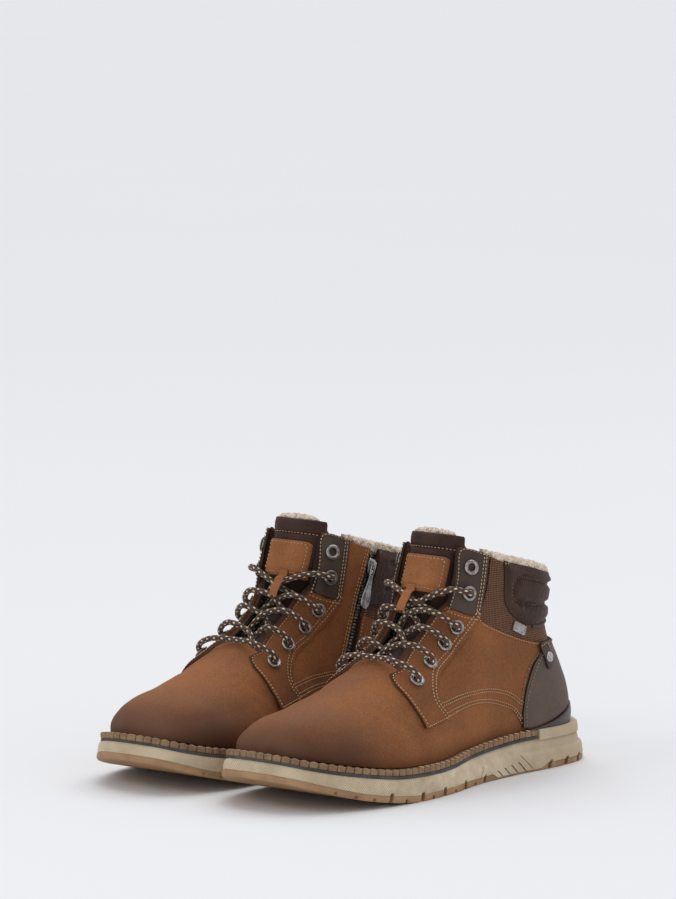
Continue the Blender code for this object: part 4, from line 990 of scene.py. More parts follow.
def build_overlays():
    sewn = (GAP, GAP + OVERLAY)
    for side, span, sign in (("lateral", LAT, 1), ("medial", MED, -1)):
        front = soften([(4, 112.5), (-7, 100), (-29, 85), (-38, 79.5), (-46, 77), (-50, 71),
                        (-49, 62), (-45.4, 45)], 1.5)[6:-6]
        outline = closed([(4, 112.5)], front, [(-45.4, 45), (-30, 47.3), (-19, 49.4)],
                         [q for q in facing_rear[::-1][3:] if q[1] < 107],
                         [(29, 107), (17, 110.6), (10, 114.5)])
        dip = lambda p, u, v: 0.25 - 0.7 * near(p, [seam_line(FACING_REAR, sign, 0, 2)], 2.5)
        mesh = panel(outline, span, (0.004, 0.75) if sign > 0 else (-0.75, -0.004), sewn[0], sewn[1],
                     (0.1, 1), 2.0, puff=dip)
        place("facing_%s_leather" % side, mesh, nubuck_trim, ["facing_" + side], edge=cut_edge)
        lead = 0.0 if sign > 0 else 1.4
        tab = soften([(20.0 + lead, 153.9), (11.0 + lead, 119.5), (9.2 + lead, 115.0), (19, 111.0),
                      (30.5, 108.0), (40, 149)], 3.0)
        mesh = panel(tab, span, (0.004, 0.75) if sign > 0 else (-0.75, -0.004), sewn[0], sewn[1] + 0.1,
                     (0.3, 1), 1.8)
        place("ankle_tab_%s_leather" % side, mesh, taupe_leather, ["ankle_tab_" + side], edge=cut_taupe)
    counter = closed(counter_front, [(71.5, 29.5)], [(x, z + 1.2) for x, z in clip_top[1:]],
                     [(150, 84), (93, 84)])
    mesh = panel(counter, BOTH, (0.5, 1.5), sewn[0], sewn[1], (0, 0.85), 2.0)
    place("counter_cover_leather", mesh, counter_leather, ["counter_cover"], edge=cut_taupe)
    clip = closed(clip_top, [(160, 40.5), (160, 5), (75, 5)])
    lip = lambda p, u, v: 0.5 * np.sin(np.clip((p[..., 2] - 26) / 12, 0, 1) * math.pi)
    mesh = panel(clip, BOTH, (0.5, 1.5), GAP, GAP + 2.2, (0, 0.45), 1.8, puff=lip)
    mesh = modified(mesh, 'BEVEL', width=0.5, segments=2, limit_method='ANGLE', angle_limit=0.9)
    shade(mesh, 50)
    place("heel_clip_plastic", mesh, clip_plastic, ["heel_clip"])
    strap = soften([(86.6, 84), (95.0, 85.6), (98.6, 80), (99.8, 72), (98.0, 66.6), (94.2, 66.2),
                    (91.6, 73)], 3)
    mesh = panel(strap, LAT, (0.5, 0.97), 2 * GAP + OVERLAY, 2 * GAP + 2 * OVERLAY, (0.2, 0.9), 1.2)
    stud_at, stud_n = surface_point(95.8, 73.8, 1)
    base = stud_at + stud_n * (2 * GAP + 2 * OVERLAY - 0.2)
    rings = lathe(base, stud_n, [(3.6, 0.0), (3.6, 0.5), (3.2, 1.0), (2.9, 0.75), (1.2, 0.75), (1.0, 1.1),
                                 (0.2, 1.25)], 24)
    place("heel_strap_leather", mesh, taupe_leather, ["heel_strap"], edge=cut_taupe)
    place("heel_strap_stud", rings, silver)


def lathe(centre, axis, profile, sides=20, closed_ring=False):
    """Turned piece about an axis: profile of (radius, distance along the axis); a closed ring has
    a hole through it."""
    turn = Vector(axis).normalized().to_track_quat('Z', 'Y').to_matrix()
    rings = []
    for radius, dist in profile:
        rings.append([np.array(centre) + np.array(turn @ Vector((radius * math.cos(a), radius * math.sin(a),
                      dist))) for a in np.linspace(0, 2 * math.pi, sides, endpoint=False)])
    rings = np.array(rings)
    if closed_ring:
        verts = rings.reshape(-1, 3)
        n = len(profile)
        faces = []
        for i in range(n):
            for j in range(sides):
                k = (j + 1) % sides
                faces.append((i * sides + j, i * sides + k, ((i + 1) % n) * sides + k,
                              ((i + 1) % n) * sides + j))
        return mesh_of("ring", verts, faces, crease=60)
    return block(rings, 45)


# ----------------------------------------------------------------- soles
def plan(grow_toe, grow_side, grow_heel, lat=sole_lat, med=sole_med, count=120):
    """Plan outline grown by three amounts: (x, y) toe tip first, lateral side first."""
    y_min, y_max = lat[0, 1], lat[-1, 1]
    ys = (y_min + y_max) / 2 - (y_max - y_min) / 2 * np.cos(np.linspace(0, math.pi, count + 1))
    out = []
    for line, side in ((lat, 1), (med, -1)):
        w = np.interp(ys, line[:, 1], line[:, 0])
        mid = np.interp(ys, [y_min, y_max], [line[0, 0], line[-1, 0]])
        reach = np.abs(w - mid)
        scale = (reach + grow_side) / np.maximum(reach, 1.0)
        x = mid + (w - mid) * np.where(reach > 1, scale, 1)
        y = ys + np.where(ys < 0, -grow_toe, grow_heel) * ease(np.abs(ys), 95, 150)
        out.append(np.stack([x, y], 1))
    latp, medp = out
    return np.concatenate([latp, medp[1:-1][::-1]])


HEIGHTS = {
    'tread': tread,
    'gum': lambda y: tread(y) + GUM - (GUM - ARCH_GUM) * ease(y, 30, 36) * (1 - ease(y, 84, 90)),
    'mid': lambda y: welt_top(y) - WELT - GAP - RAND - GAP,
    'rand': lambda y: welt_top(y) - WELT - GAP,
    'welt': welt_top,
}
TOE_FLARE, SIDE_FLARE, HEEL_FLARE = 1.0, 1.4, 4.0


def flared(k, more=0.0):
    """Outline at height k: 0 ground, 1 top of the cream midsole."""
    return plan(TOE_FLARE * (1 - k) + more, SIDE_FLARE * (1 - k) + more, HEEL_FLARE * (1 - k) + more)


def stacked(levels, count=120, crease=35):
    """Solid from stacked outlines of (x, y, z) points, with a UV map of run and height in mm."""
    n = len(levels[0])
    verts = np.concatenate(levels)
    base = np.vstack([levels[0][:, :2], levels[0][:1, :2]])
    run = run_of(base)
    faces, uvs = [], []
    for k in range(len(levels) - 1):
        for j in range(n):
            m = (j + 1) % n
            faces.append((k * n + j, k * n + m, (k + 1) * n + m, (k + 1) * n + j))
            za, zb, zc, zd = levels[k][j, 2], levels[k][m, 2], levels[k + 1][m, 2], levels[k + 1][j, 2]
            uvs.append([(run[j], za), (run[j + 1], zb), (run[j + 1], zc), (run[j], zd)])
    n_lat = count + 1
    other = [0] + list(range(n - 1, n_lat - 1, -1)) + [n_lat - 1]
    for k, base_at in ((0, 0), (len(levels) - 1, (len(levels) - 1) * n)):
        for j in range(n_lat - 1):
            quad = tuple(dict.fromkeys([j, j + 1, other[j + 1], other[j]]))
            if len(quad) > 2:
                faces.append(tuple(base_at + q for q in quad))
                uvs.append([tuple(levels[k][q, :2]) for q in quad])
    return mesh_of("stack", verts, faces, uvs, weld=0.0, crease=crease)


def ring_at(outline, height):
    return np.column_stack([outline, height(outline[:, 1])])


def layers(profile, grow, low, high, lines=(sole_lat, sole_med), count=120):
    """Outlines from the height low(y) to high(y): profile of (share of the height, outward step)."""
    levels = []
    for f, more in profile:
        ring = plan(*[g + more for g in grow], *lines, count)
        base, top = low(ring[:, 1]), high(ring[:, 1])
        levels.append(np.column_stack([ring, base + f * (top - base)]))
    return levels


def ahead_of_clip():
    """Block that covers the boot up to the front of the heel clip."""
    return prism([(-SPAN, -9), (80, -9), (87.5, 60), (-SPAN, 60)], *WIDE, 0.0)


SPAN, WIDE = 210, (-90, 90)    # past both ends of the boot, and past both its sides
TOOTH_STEP = 6.0
LUG_EDGES = (-128, -115, -102, -75, -48, -21, 8, 140)
NOTCHES = [(-89, 2.0), (-60, 2.2), (-35, 2.2), (-7, 2.2), (20, 1.8), (92, 2.3), (111, 2.3), (127, 2.1)]
LEDGE = [(8, 9.0), (42, 13.5), (80, 13.0), (100, 12.8), (155, 12.6)]


def notch_cutters():
    """Slanted notches in the side of the sole, then the cross grooves between the lugs."""
    cuts, cross = [], []
    for y, half in NOTCHES:
        z = float(tread(y))
        lean = 1.6 if y > 50 else 1.2
        for side in (1, -1):
            line = sole_lat if side > 0 else sole_med
            edge = float(np.interp(y, line[:, 1], line[:, 0]))
            corners = soften([(y - half - lean, z - 3), (y + half - lean, z - 3), (y + half + lean, z + 6.0),
                              (y - half * 0.5 + lean, z + 6.0)], 1.0, 3)
            x0, x1 = sorted((edge - side * 3.4, edge + side * 12))
            cuts.append(prism(corners, x0, x1, 0.0))
        corners = [(y - 1.7 - lean, z - 3), (y + 1.7 - lean, z - 3), (y + 1.1, z + 2.4), (y - 1.1, z + 2.4)]
        cross.append(prism(corners, *WIDE, 0.0))
    for y in LUG_EDGES:
        z = float(tread(y))
        cross.append(prism([(y - 1.7, z - 3), (y + 1.7, z - 3), (y + 1.1, z + 2.4), (y - 1.1, z + 2.4)],
                           *WIDE, 0.0))
    return joined("cuts", cuts), joined("cross", cross)


def build_soles():
    tread_of, gum_of, mid_of = HEIGHTS['tread'], HEIGHTS['gum'], HEIGHTS['mid']
    levels = [ring_at(flared(0.0, -2.0), tread_of), ring_at(flared(0.0, -0.5), tread_of),
              ring_at(flared(0.02, 0.0), lambda y: tread_of(y) + 0.5)]
    for f in (0.35, 0.7, 0.92):
        levels.append(ring_at(flared(0.14 * f, 0.35 * math.sin(f * math.pi)),
                              lambda y, f=f: tread_of(y) + f * (gum_of(y) - tread_of(y))))
    levels.append(ring_at(flared(0.14, -0.1), gum_of))
    cuts, cross = notch_cutters()
    sole = combine(combine(stacked(levels), cross, 'DIFFERENCE'), cuts, 'DIFFERENCE')
    shade(sole, 35)
    place("outsole_rubber", sole, gum, ["outsole"])
    # midsole: bowed side, stepped in above a ledge in the rear half, hollow arch insert
    levels = []
    fractions = np.linspace(0, 1, 15)
    for i, f in enumerate(fractions):
        k = 0.15 + 0.85 * f
        ring = flared(k, 0.0)
        low, high = gum_of(ring[:, 1]) + 0.12, mid_of(ring[:, 1])
        z = low + f * (high - low)
        bow = 0.3 * np.sin(f * math.pi) - 0.9 * ease(f, 0.86, 1.0)
        ledge_z = np.interp(ring[:, 1], [p[0] for p in LEDGE], [p[1] for p in LEDGE])
        rear = ease(ring[:, 1], 2, 16)
        bow = bow + rear * (0.8 - 1.9 * ease(z, ledge_z - 0.7, ledge_z + 0.7))
        centre = np.array([np.interp(ring[:, 1], [-150, 0, 150], [-6, 3, 0]), ring[:, 1]]).T
        out = unit(ring - np.column_stack([centre[:, 0], np.clip(ring[:, 1], -120, 110)]))
        pts = ring + out * bow[:, None]
        levels.append(np.column_stack([pts, z]))
    mid = stacked(levels, crease=28)
    insert = []
    for side in (1, -1):
        line = sole_lat if side > 0 else sole_med
        lines = [((27.5 + 7.9 * i, 5.0 + 0.9 * i), (32.5 + 8.6 * i, 1.6), 1.7) for i in range(5)]
        lines += [((19.5, 11.0), (12.5, 2.2), 0.9), ((62.0, 12.6), (74.5, 2.2), 0.9)]
        for (ya, za), (yb, zb), wide in lines:
            edge = float(np.interp(0.5 * (ya + yb), line[:, 1], line[:, 0]))
            corners = soften([(yb, zb), (yb + wide, zb), (ya + wide, za), (ya, za)], 0.5, 3)
            x0, x1 = sorted((edge - side * (2.0 if wide > 1 else 0.6), edge + side * 9))
            insert.append(prism(corners, x0, x1, 0.0))
    mid = combine(mid, joined("insert", insert), 'DIFFERENCE')
    mid = combine(mid, notch_cutters()[0], 'DIFFERENCE')
    shade(mid, 28)
    # the foam climbs behind the welt to carry the heel clip
    levels = layers(((0, 0.1), (0.5, 0.0), (0.85, -0.3), (1.0, -1.2)), (0, 0, 0),
                    lambda y: mid_of(y) - 0.6, lambda y: welt_top(y) - 0.1)
    behind = prism([(80.5, -9), (SPAN, -9), (SPAN, 60), (88, 60)], *WIDE, 0.0)
    cup = combine(stacked(levels, crease=40), behind)
    shade(cup, 40)
    place("midsole_foam", joined("foam", [mid, cup]), foam, ["midsole"])
    # grey band with two raised lines
    levels = layers(((0, -0.9), (0.06, 0.0), (0.3, 0.1), (0.38, -0.35), (0.46, 0.1), (0.62, 0.1),
                     (0.7, -0.35), (0.78, 0.1), (0.96, 0.0), (1.0, -0.7)), (-0.6, -0.8, -0.8),
                    lambda y: mid_of(y) + 0.1, HEIGHTS['rand'])
    band = combine(stacked(levels, crease=50), ahead_of_clip())
    shade(band, 50)
    place("rand_band", band, band_grey, ["rand"])
    build_welt()


def build_welt():
    """Welt: a plain body, teeth with rounded tops as far as the heel clip, and dashes of thread."""
    low, high = HEIGHTS['rand'], HEIGHTS['welt']
    levels = layers(((0, -1.6), (0.04, -1.0), (0.5, -0.95), (0.86, -1.0), (0.97, -1.4), (1.0, -2.2)),
                    (-0.4, -0.6, -0.6), lambda y: low(y) + 0.1, lambda y: high(y) - 0.3)
    body = combine(stacked(levels, crease=50), ahead_of_clip())
    shade(body, 50)
    # one tooth is 5.5 x 2.6 x 3.4 mm with a bump on top
    ring = plan(-1.5, -1.7, -1.7, count=220)
    line = np.column_stack([ring, (low(ring[:, 1]) + high(ring[:, 1])) / 2 + 0.05])
    keep = line[:, 1] < 80
    first = int(np.argmax(~keep))
    open_line = np.vstack([line[~keep][-1:], line[np.where(~keep)[0][-1] + 1:], line[:first]])
    teeth = grown(lines_mesh([open_line]), tooth_tree, welt_rubber, Spacing=TOOTH_STEP, Length=5.5, Width=2.6,
                  Height=3.4)
    teeth = modified(teeth, 'BEVEL', width=0.45, segments=2)
    shade(teeth, 40)
    top = open_line + np.array([0, 0, 1.55])
    bumps = grown(lines_mesh([top]), stitch_tree, welt_rubber, Spacing=TOOTH_STEP, Length=5.2,
                  Width=3.4, Height=1.5)
    place("welt_strip", joined("welt", [body, teeth, bumps]), welt_rubber, ["welt"])
    # oblique dashes over the rear teeth
    dashes = []
    run = run_of(open_line)
    count = int(run[-1] / TOOTH_STEP) + 1
    at = np.linspace(0, run[-1], count)
    for s in at:
        p = np.array([np.interp(s, run, open_line[:, k]) for k in range(3)])
        q = np.array([np.interp(s + 1.0, run, open_line[:, k]) for k in range(3)])
        if p[1] < -60 or np.linalg.norm(q - p) < 0.1:
            continue
        t = (q - p) / np.linalg.norm(q - p)
        side = np.array([t[1], -t[0], 0.0])
        if side @ (p - np.array([0, p[1], p[2]])) < 0:
            side = -side
        c = p + np.array([0, 0, 2.55]) + side * 0.5
        dashes.append([c - t * 1.5 - side * 0.2 + np.array([0, 0, 0.15]), c,
                       c + t * 1.5 + side * 1.0 - np.array([0, 0, 0.5])])
    cords = joined("dashes", [sweep(d, 0.42, 6) for d in dashes])
    place("welt_thread", cords, thread_pale)


# ------------------------------------------------------- inside of the boot
def flat_pad(name, outline_grow, low, high, material, node):
    levels = layers(((0, -0.6), (0.15, 0.0), (0.85, 0.0), (1.0, -0.8)), [outline_grow] * 3,
                    lambda y: welt_top(y) + low, lambda y: welt_top(y) + high, (up_lat, up_med), 90)
    place(name, stacked(levels, 90, 40), material, [node])


def build_inner():
    flat_pad("insole_board_fibre", -9.4, GAP, GAP + BOARD, board_fibre, "insole_board")
    flat_pad("footbed_fleece", -12.0, 2 * GAP + BOARD, 2 * GAP + BOARD + FOOTBED, fleece, "footbed")
    hidden = (-LEATHER - GAP - STIFF, -LEATHER - GAP)
    puff = panel([(-136, 5), (-136, 110), (-104, 110), (-98, 40), (-96, 5)], BOTH, (-0.7, 0.7), *hidden)
    place("toe_puff_fibre", puff, stiff_fibre, ["toe_puff"])
    stiff = panel([(86, 5), (84, 50), (94, 76), (150, 80), (160, 5)], BOTH, (0.5, 1.5), *hidden)
    place("heel_stiffener_fibre", stiff, stiff_fibre, ["heel_stiffener"])
    deep = -LEATHER - 2 * GAP - STIFF
    edge = [(y + 1.0, z - 2.0) for y, z in FACING_REAR[:4]]
    outline = closed([(46, 200)], curved(edge), [(-36, 62), (-50, 80), (-64, 130), (-135, 130), (-135, 5),
                                                 (170, 5), (170, 200)])
    curls = lambda p, u, v: -0.5 + 0.5 * np.sin(p[..., 0] * 1.4 + p[..., 2]) * np.sin(p[..., 1] * 1.3)
    lining = panel(outline, BOTH, (-1, 1), deep - FLEECE, deep, (0, 1), 2.6, 4.0, curls)
    place("fleece_lining", lining, fleece, ["lining"])


def tuft_tree():
    """Small curls of fleece scattered on a mesh with a fixed seed."""
    tree = bpy.data.node_groups.new("fleece_curls", 'GeometryNodeTree')
    face = tree.interface
    face.new_socket("Geometry", in_out='INPUT', socket_type='NodeSocketGeometry')
    for label, value in (("Density", 0.3), ("Size", 1.6)):
        face.new_socket(label, in_out='INPUT', socket_type='NodeSocketFloat').default_value = value
    face.new_socket("Material", in_out='INPUT', socket_type='NodeSocketMaterial')
    face.new_socket("Geometry", in_out='OUTPUT', socket_type='NodeSocketGeometry')
    t = Tree(tree)
    ins = t.add('NodeGroupInput').outputs
    spread = t.add('GeometryNodeDistributePointsOnFaces', {'Mesh': ins[0], 'Density': ins["Density"],
                                                           'Seed': 7})
    curl = t.add('GeometryNodeMeshIcoSphere', {'Radius': 1.0, 'Subdivisions': 2}).outputs[0]
    turn = t.add('FunctionNodeRandomValue', data_type='FLOAT_VECTOR')
    turn.inputs[0].default_value, turn.inputs[1].default_value = (-3, -3, -3), (3, 3, 3)
    turn.inputs['Seed'].default_value = 3
    size = t.add('FunctionNodeRandomValue', data_type='FLOAT_VECTOR')
    size.inputs[0].default_value, size.inputs[1].default_value = (0.55, 0.4, 0.45), (1.1, 0.8, 1.0)
    size.inputs['Seed'].default_value = 11
    scale = t.add('ShaderNodeVectorMath', {0: size.outputs[0]}, operation='SCALE')
    tree.links.new(ins["Size"], scale.inputs['Scale'])
    put = t.add('GeometryNodeInstanceOnPoints', {'Points': spread.outputs[0], 'Instance': curl,
                                                 'Rotation': turn.outputs[0],
                                                 'Scale': scale.outputs[0]}).outputs[0]
    real = t.add('GeometryNodeRealizeInstances', {0: put}).outputs[0]
    soft = t.add('GeometryNodeSetShadeSmooth', {0: real}).outputs[0]
    done = t.add('GeometryNodeSetMaterial', {0: soft, 'Material': ins["Material"]}).outputs[0]
    tree.links.new(done, t.add('NodeGroupOutput').inputs[0])
    return tree


def ruffled(mesh, amount, scale):
    """Pushes a mesh out and in with a fixed noise so that tufts look curled."""
    bm = bmesh.new()
    bm.from_mesh(mesh)
    bm.normal_update()
    for v in bm.verts:
        v.co += v.normal * amount * noise.noise(v.co * scale)
    bm.to_mesh(mesh)
    bm.free()
    return mesh


def build_fleece_rim():
    """Roll of curly fleece that stands above the top line and behind the tongue."""
    pieces = []
    us = np.linspace(u_at(40, 0.97), 2 - u_at(40, 0.97), 110)
    p, n = skin(wrap(us), np.ones(110))
    up = unit(upper(wrap(us), np.ones(110)) - upper(wrap(us), np.full(110, 0.96)))
    centre = p - n * 4.6 + up * 1.9
    radius = np.minimum(3.0, 1.5 + 3.0 * np.sin(np.linspace(0, math.pi, 110)) * 3)
    pieces.append(sweep(centre, radius, 12))
    behind = np.array([tongue_point(x, TONGUE_HEAD, 6.2) for x in np.linspace(-15.5, 15.5, 26)])
    behind[:, 2] += 2.0 - 2.2 * (np.abs(behind[:, 0]) / 18.5) ** 3
    radius = np.minimum(2.8, 1.3 + 4 * np.sin(np.linspace(0.05, math.pi - 0.05, 26)) * 1.4)
    pieces.append(sweep(behind, radius, 12))
    rim = joined("rim", pieces)
    curls = grown(rim, tuft_tree(), fleece, Density=0.45, Size=1.6)
    curls = ruffled(curls, 0.7, 0.9)
    shade(curls, 0)
    place("fleece_rim", joined("rim", [rim, curls]), fleece)


# ------------------------------------------------------------------ tongue
TONGUE_HALF, TONGUE_PAD = 22.5, 6.0
TONGUE_FOOT, TONGUE_HEAD, ROLL_SEAM = -45.0, 15.9, 153.4
PATCH_LOW, PATCH_HIGH, PATCH_HALF, PATCH_CORNER = 125.5, 148.0, 17.7, 2.2
LOOP_WIDTH, LOOP_X = 7.0, -4.0
throat_line = front_line[(front_line[:, 1] > 60) & (front_line[:, 0] > -60)]


def throat_at(y):
    """Front-line point and the direction that points into the boot."""
    i = int(np.clip(np.searchsorted(throat_line[:, 0], y), 2, len(throat_line) - 3))
    a, b = throat_line[i - 1], throat_line[i]
    d = throat_line[i + 2] - throat_line[i - 2]
    d = d / np.linalg.norm(d)
    f = np.clip((y - a[0]) / (b[0] - a[0]), 0, 1)
    return a + (b - a) * f, np.array([d[1], -d[0]]), d


def tongue_depth(x, z):
    up = ease(z, 119, 130)
    return 9.6 - 9.1 * up + 12.5 * (np.abs(x) / (15.8 + 4.7 * up)) ** (2.5 + 1.5 * up)


def tongue_point(x, y, more=0.0):
    base, inward, _ = throat_at(y)
    q = base + inward * (tongue_depth(x, base[1]) + more)
    return np.array([x, q[0], q[1]])


def y_at_height(z):
    return float(np.interp(z, throat_line[:, 1], throat_line[:, 0]))


def build_tongue():
    """Padded tongue: face and back with a pillowed roll at the top and a rounded upper edge."""
    ys = np.concatenate([np.linspace(TONGUE_FOOT, 4, 34), np.linspace(4.6, TONGUE_HEAD, 44)])
    cols = 33
    grid = []
    for y in ys:
        half = TONGUE_HALF * (0.72 + 0.16 * float(ease(y, -45, -15)) + 0.12 * float(ease(y, 5, 11)))
        z = throat_at(y)[0][1]
        half *= 1 - 0.1 * float(ease(z, 150, 158)) ** 2
        xs = half * np.sin(np.linspace(-1, 1, cols) * math.pi / 2)
        edge = np.sqrt(np.maximum(1 - (np.abs(xs) / half) ** 6, 0))
        # pillow: the roll above the seam, a seam dip, soft cross creases lower down
        bulge = math.sin(math.pi * float(np.clip((z - ROLL_SEAM) / 9.5, 0, 1)))
        roll = 1.5 * bulge ** 0.6 if z > ROLL_SEAM else 0
        seam = 0.9 * math.exp(-((z - ROLL_SEAM) / 0.9) ** 2)
        wrinkle = 0.25 * math.sin(z * 0.8) + 0.2 * math.sin(z * 1.7 + 1)
        front = [tongue_point(x, y, -roll * e + seam * e - wrinkle * 0.4 * e)
                 for x, e in zip(xs, edge)]
        thick = [TONGUE_PAD * (0.45 + 0.55 * math.cos(x / half * math.pi / 2)) + 0.4 * roll for x in xs]
        back = [tongue_point(x, y, t) for x, t in zip(xs, thick)]
        grid.append(front + back[::-1])
    # rounded top edge
    last = np.array(grid[-1])
    for up, keep in ((1.0, 0.9), (1.9, 0.7), (2.3, 0.4)):
        ring = last.copy()
        front, back = ring[:cols], ring[cols:][::-1]
        mid = (front + back) / 2
        ring[:cols] = mid + (front - mid) * keep
        ring[cols:] = (mid + (back - mid) * keep)[::-1]
        ring[:, 2] += up
        grid.append(ring)
    mesh = block(grid, 50)
    place("tongue_padding", mesh, dark_leather, ["tongue"])


def patch_point(x, z, more):
    return tongue_point(x, y_at_height(z), more)


def build_patch():
    rows = np.linspace(PATCH_LOW, PATCH_HIGH, 24)
    grid = []
    for z in rows:
        d = min(z - PATCH_LOW, PATCH_HIGH - z)
        cut = PATCH_CORNER - math.sqrt(max(PATCH_CORNER ** 2 - max(PATCH_CORNER - d, 0) ** 2, 0))
        half = PATCH_HALF - cut
        xs = np.linspace(-half, half, 25)
        soft = np.minimum(1, (half - np.abs(xs)) / 1.2 + 0.35)
        grid.append([patch_point(x, z, -GAP - 1.2 - 0.8 * s) for x, s in zip(xs, soft)]
                    + [patch_point(x, z, -GAP - 0.75) for x in xs[::-1]])
    patch = block(grid, 40)
    route = [(PATCH_LOW + 3.0, -2.6), (PATCH_LOW - 0.5, -5.2), (122.5, -10.6), (119.5, -12.9),
             (116.5, -13.5), (113.4, -13.4), (111.0, -12.6)]
    line = spline([patch_point(0.0, z, more)[1:] for z, more in route], 30)
    strap = []
    for i, q in enumerate(line):
        d = line[min(i + 1, 29)] - line[max(i - 1, 0)]
        n = np.array([-d[1], d[0]]) / np.linalg.norm(d) * 0.6
        half = LOOP_WIDTH / 2 - 0.12 * abs(i - 15) / 15
        xs = LOOP_X + half * np.array([-1, -0.8, 0.8, 1])
        outer = [(x, *(q + n * k)) for x, k in zip(xs, (0.4, 1, 1, 0.4))]
        inner = [(x, *(q - n * k)) for x, k in zip(xs[::-1], (0.4, 1, 1, 0.4))]
        strap.append(outer + inner)
    place("tongue_patch_leather", joined("patch", [patch, block(strap, 50)]), patch_leather,
          ["tongue_patch"])
    d, lift, r = 1.7, -GAP - 2.15, 1.6
    inner = PATCH_HALF - d
    loop = []
    for cx, cz, a0 in ((inner - r, PATCH_HIGH - d - r, 0), (-inner + r, PATCH_HIGH - d - r, 90),
                       (-inner + r, PATCH_LOW + d + r, 180), (inner - r, PATCH_LOW + d + r, 270)):
        for a in np.radians(np.linspace(a0, a0 + 90, 7)):
            loop.append((cx + r * math.cos(a), cz + r * math.sin(a)))
    loop = resample(np.array(loop + loop[:1]), 120)
    lines = [[patch_point(x, z, lift) for x, z in loop]]
    for x in (LOOP_X - LOOP_WIDTH / 2 + 1.1, LOOP_X + LOOP_WIDTH / 2 - 1.1):
        row = []
        for i in range(5, len(line)):
            d = line[min(i + 1, 29)] - line[i - 1]
            row.append((x, *(line[i] + 0.65 * np.array([-d[1], d[0]]) / max(np.linalg.norm(d), 1e-6))))
        lines.append(row)
    lines.append([tongue_point(x, y_at_height(ROLL_SEAM), 0.1) for x in np.linspace(-19.5, 19.5, 60)])
    place("tongue_thread", stitches(lines, thread_pale, 2.6, 1.9, 0.7, 0.55), thread_pale)


# ------------------------------------------------------------------- lace
FLANGE_FOOT = GAP + OVERLAY + 1.8
LACE_STEP = 1.3
throat_curve = spline([(q[0] - 0.4, q[1] + 0.4) for q in THROAT] + [(-44, 77)], 200)


def throat_edge(i, side, forward=3.0):
    """Place on the throat edge level with eyelet i, its normal and the way out of it."""
    y, z = EYELETS[i]
    k = int(np.argmin(np.hypot(throat_curve[:, 0] - y, throat_curve[:, 1] - z)))
    run = np.hypot(*(throat_curve[:-1] - throat_curve[1:]).T)
    while forward > 0 and k > 0:
        k -= 1
        forward -= run[k]
    edge, n = surface_point(throat_curve[k, 0], throat_curve[k, 1], side)
    hole, _ = surface_point(y, z, side)
    out = edge - hole
    out -= n * (out @ n)
    return edge, n, out / np.linalg.norm(out)


def lace_route():
    top = FLANGE_FOOT + 1.0
    over = top + LACE / 2 + 0.5
    under = LEATHER + GAP + STIFF + 0.5 + LACE / 2 + 0.9
    arms = []
    for start in (1, -1):
        side, arm = start, []
        for i in range(5, 0, -1):
            hole, n = surface_point(*EYELETS[i], side)
            edge, m, out = throat_edge(i, side)
            back = (edge - hole) / np.linalg.norm(edge - hole)
            arm += [hole + n * (top + 1.4), hole - n * (under - 1.2)]
            if i == 1:
                break
            arm += [hole + back * 4.0 - n * (under + 0.9), edge - m * (under + 0.2) + out * 1.0]
            y_mid = y_at_height(0.5 * (edge[2] + throat_edge(i - 1, side)[0][2]) + (4.5 if i > 2 else -2.0))
            lift = LACE / 2 + (1.2 if i > 2 else 3.0) + (0 if start > 0 else LACE + 0.4)
            arm.append(tongue_point(0.0, y_mid, -lift))
            side = -side
            hole, n = surface_point(*EYELETS[i - 1], side)
            edge, m, out = throat_edge(i - 1, side, 0.0)
            arm += [edge + m * (over - 0.9) + out * 0.5, hole + (edge - hole) * 0.3 + n * (over + 1.2)]
        y, z = EYELETS[1]
        x = side * 21.0
        arm += [np.array([x, y + 14, z - 4]), np.array([x * 0.86, y + 23, z - 11])]
        for k in range(1, 8):
            arm.append(np.array([x * 0.72, y + 26 + 2.6 * k, z - 11 - 9.0 * k]))
        arms.append(arm)
    bar = []
    for side in (1, -1):
        hole, n = surface_point(*EYELETS[5], side)
        edge, m, out = throat_edge(5, side, 0.0)
        bar.append([hole + (edge - hole) * 0.3 + n * (over + 1.2), edge + m * (over - 0.6) + out * 1.5])
    crest, inward, _ = throat_at(-39.0)
    middle = [np.array([0.0, *(crest - inward * (LACE / 2 + 1.1))])]
    return arms[1][::-1] + bar[1] + middle + bar[0][::-1] + arms[0]


def build_lace():
    line = through(lace_route(), 12)
    line = resample(line, int(run_of(line)[-1] / LACE_STEP))
    place("lace_braid", sweep(line, LACE / 2, 14), braid, ["lace"])


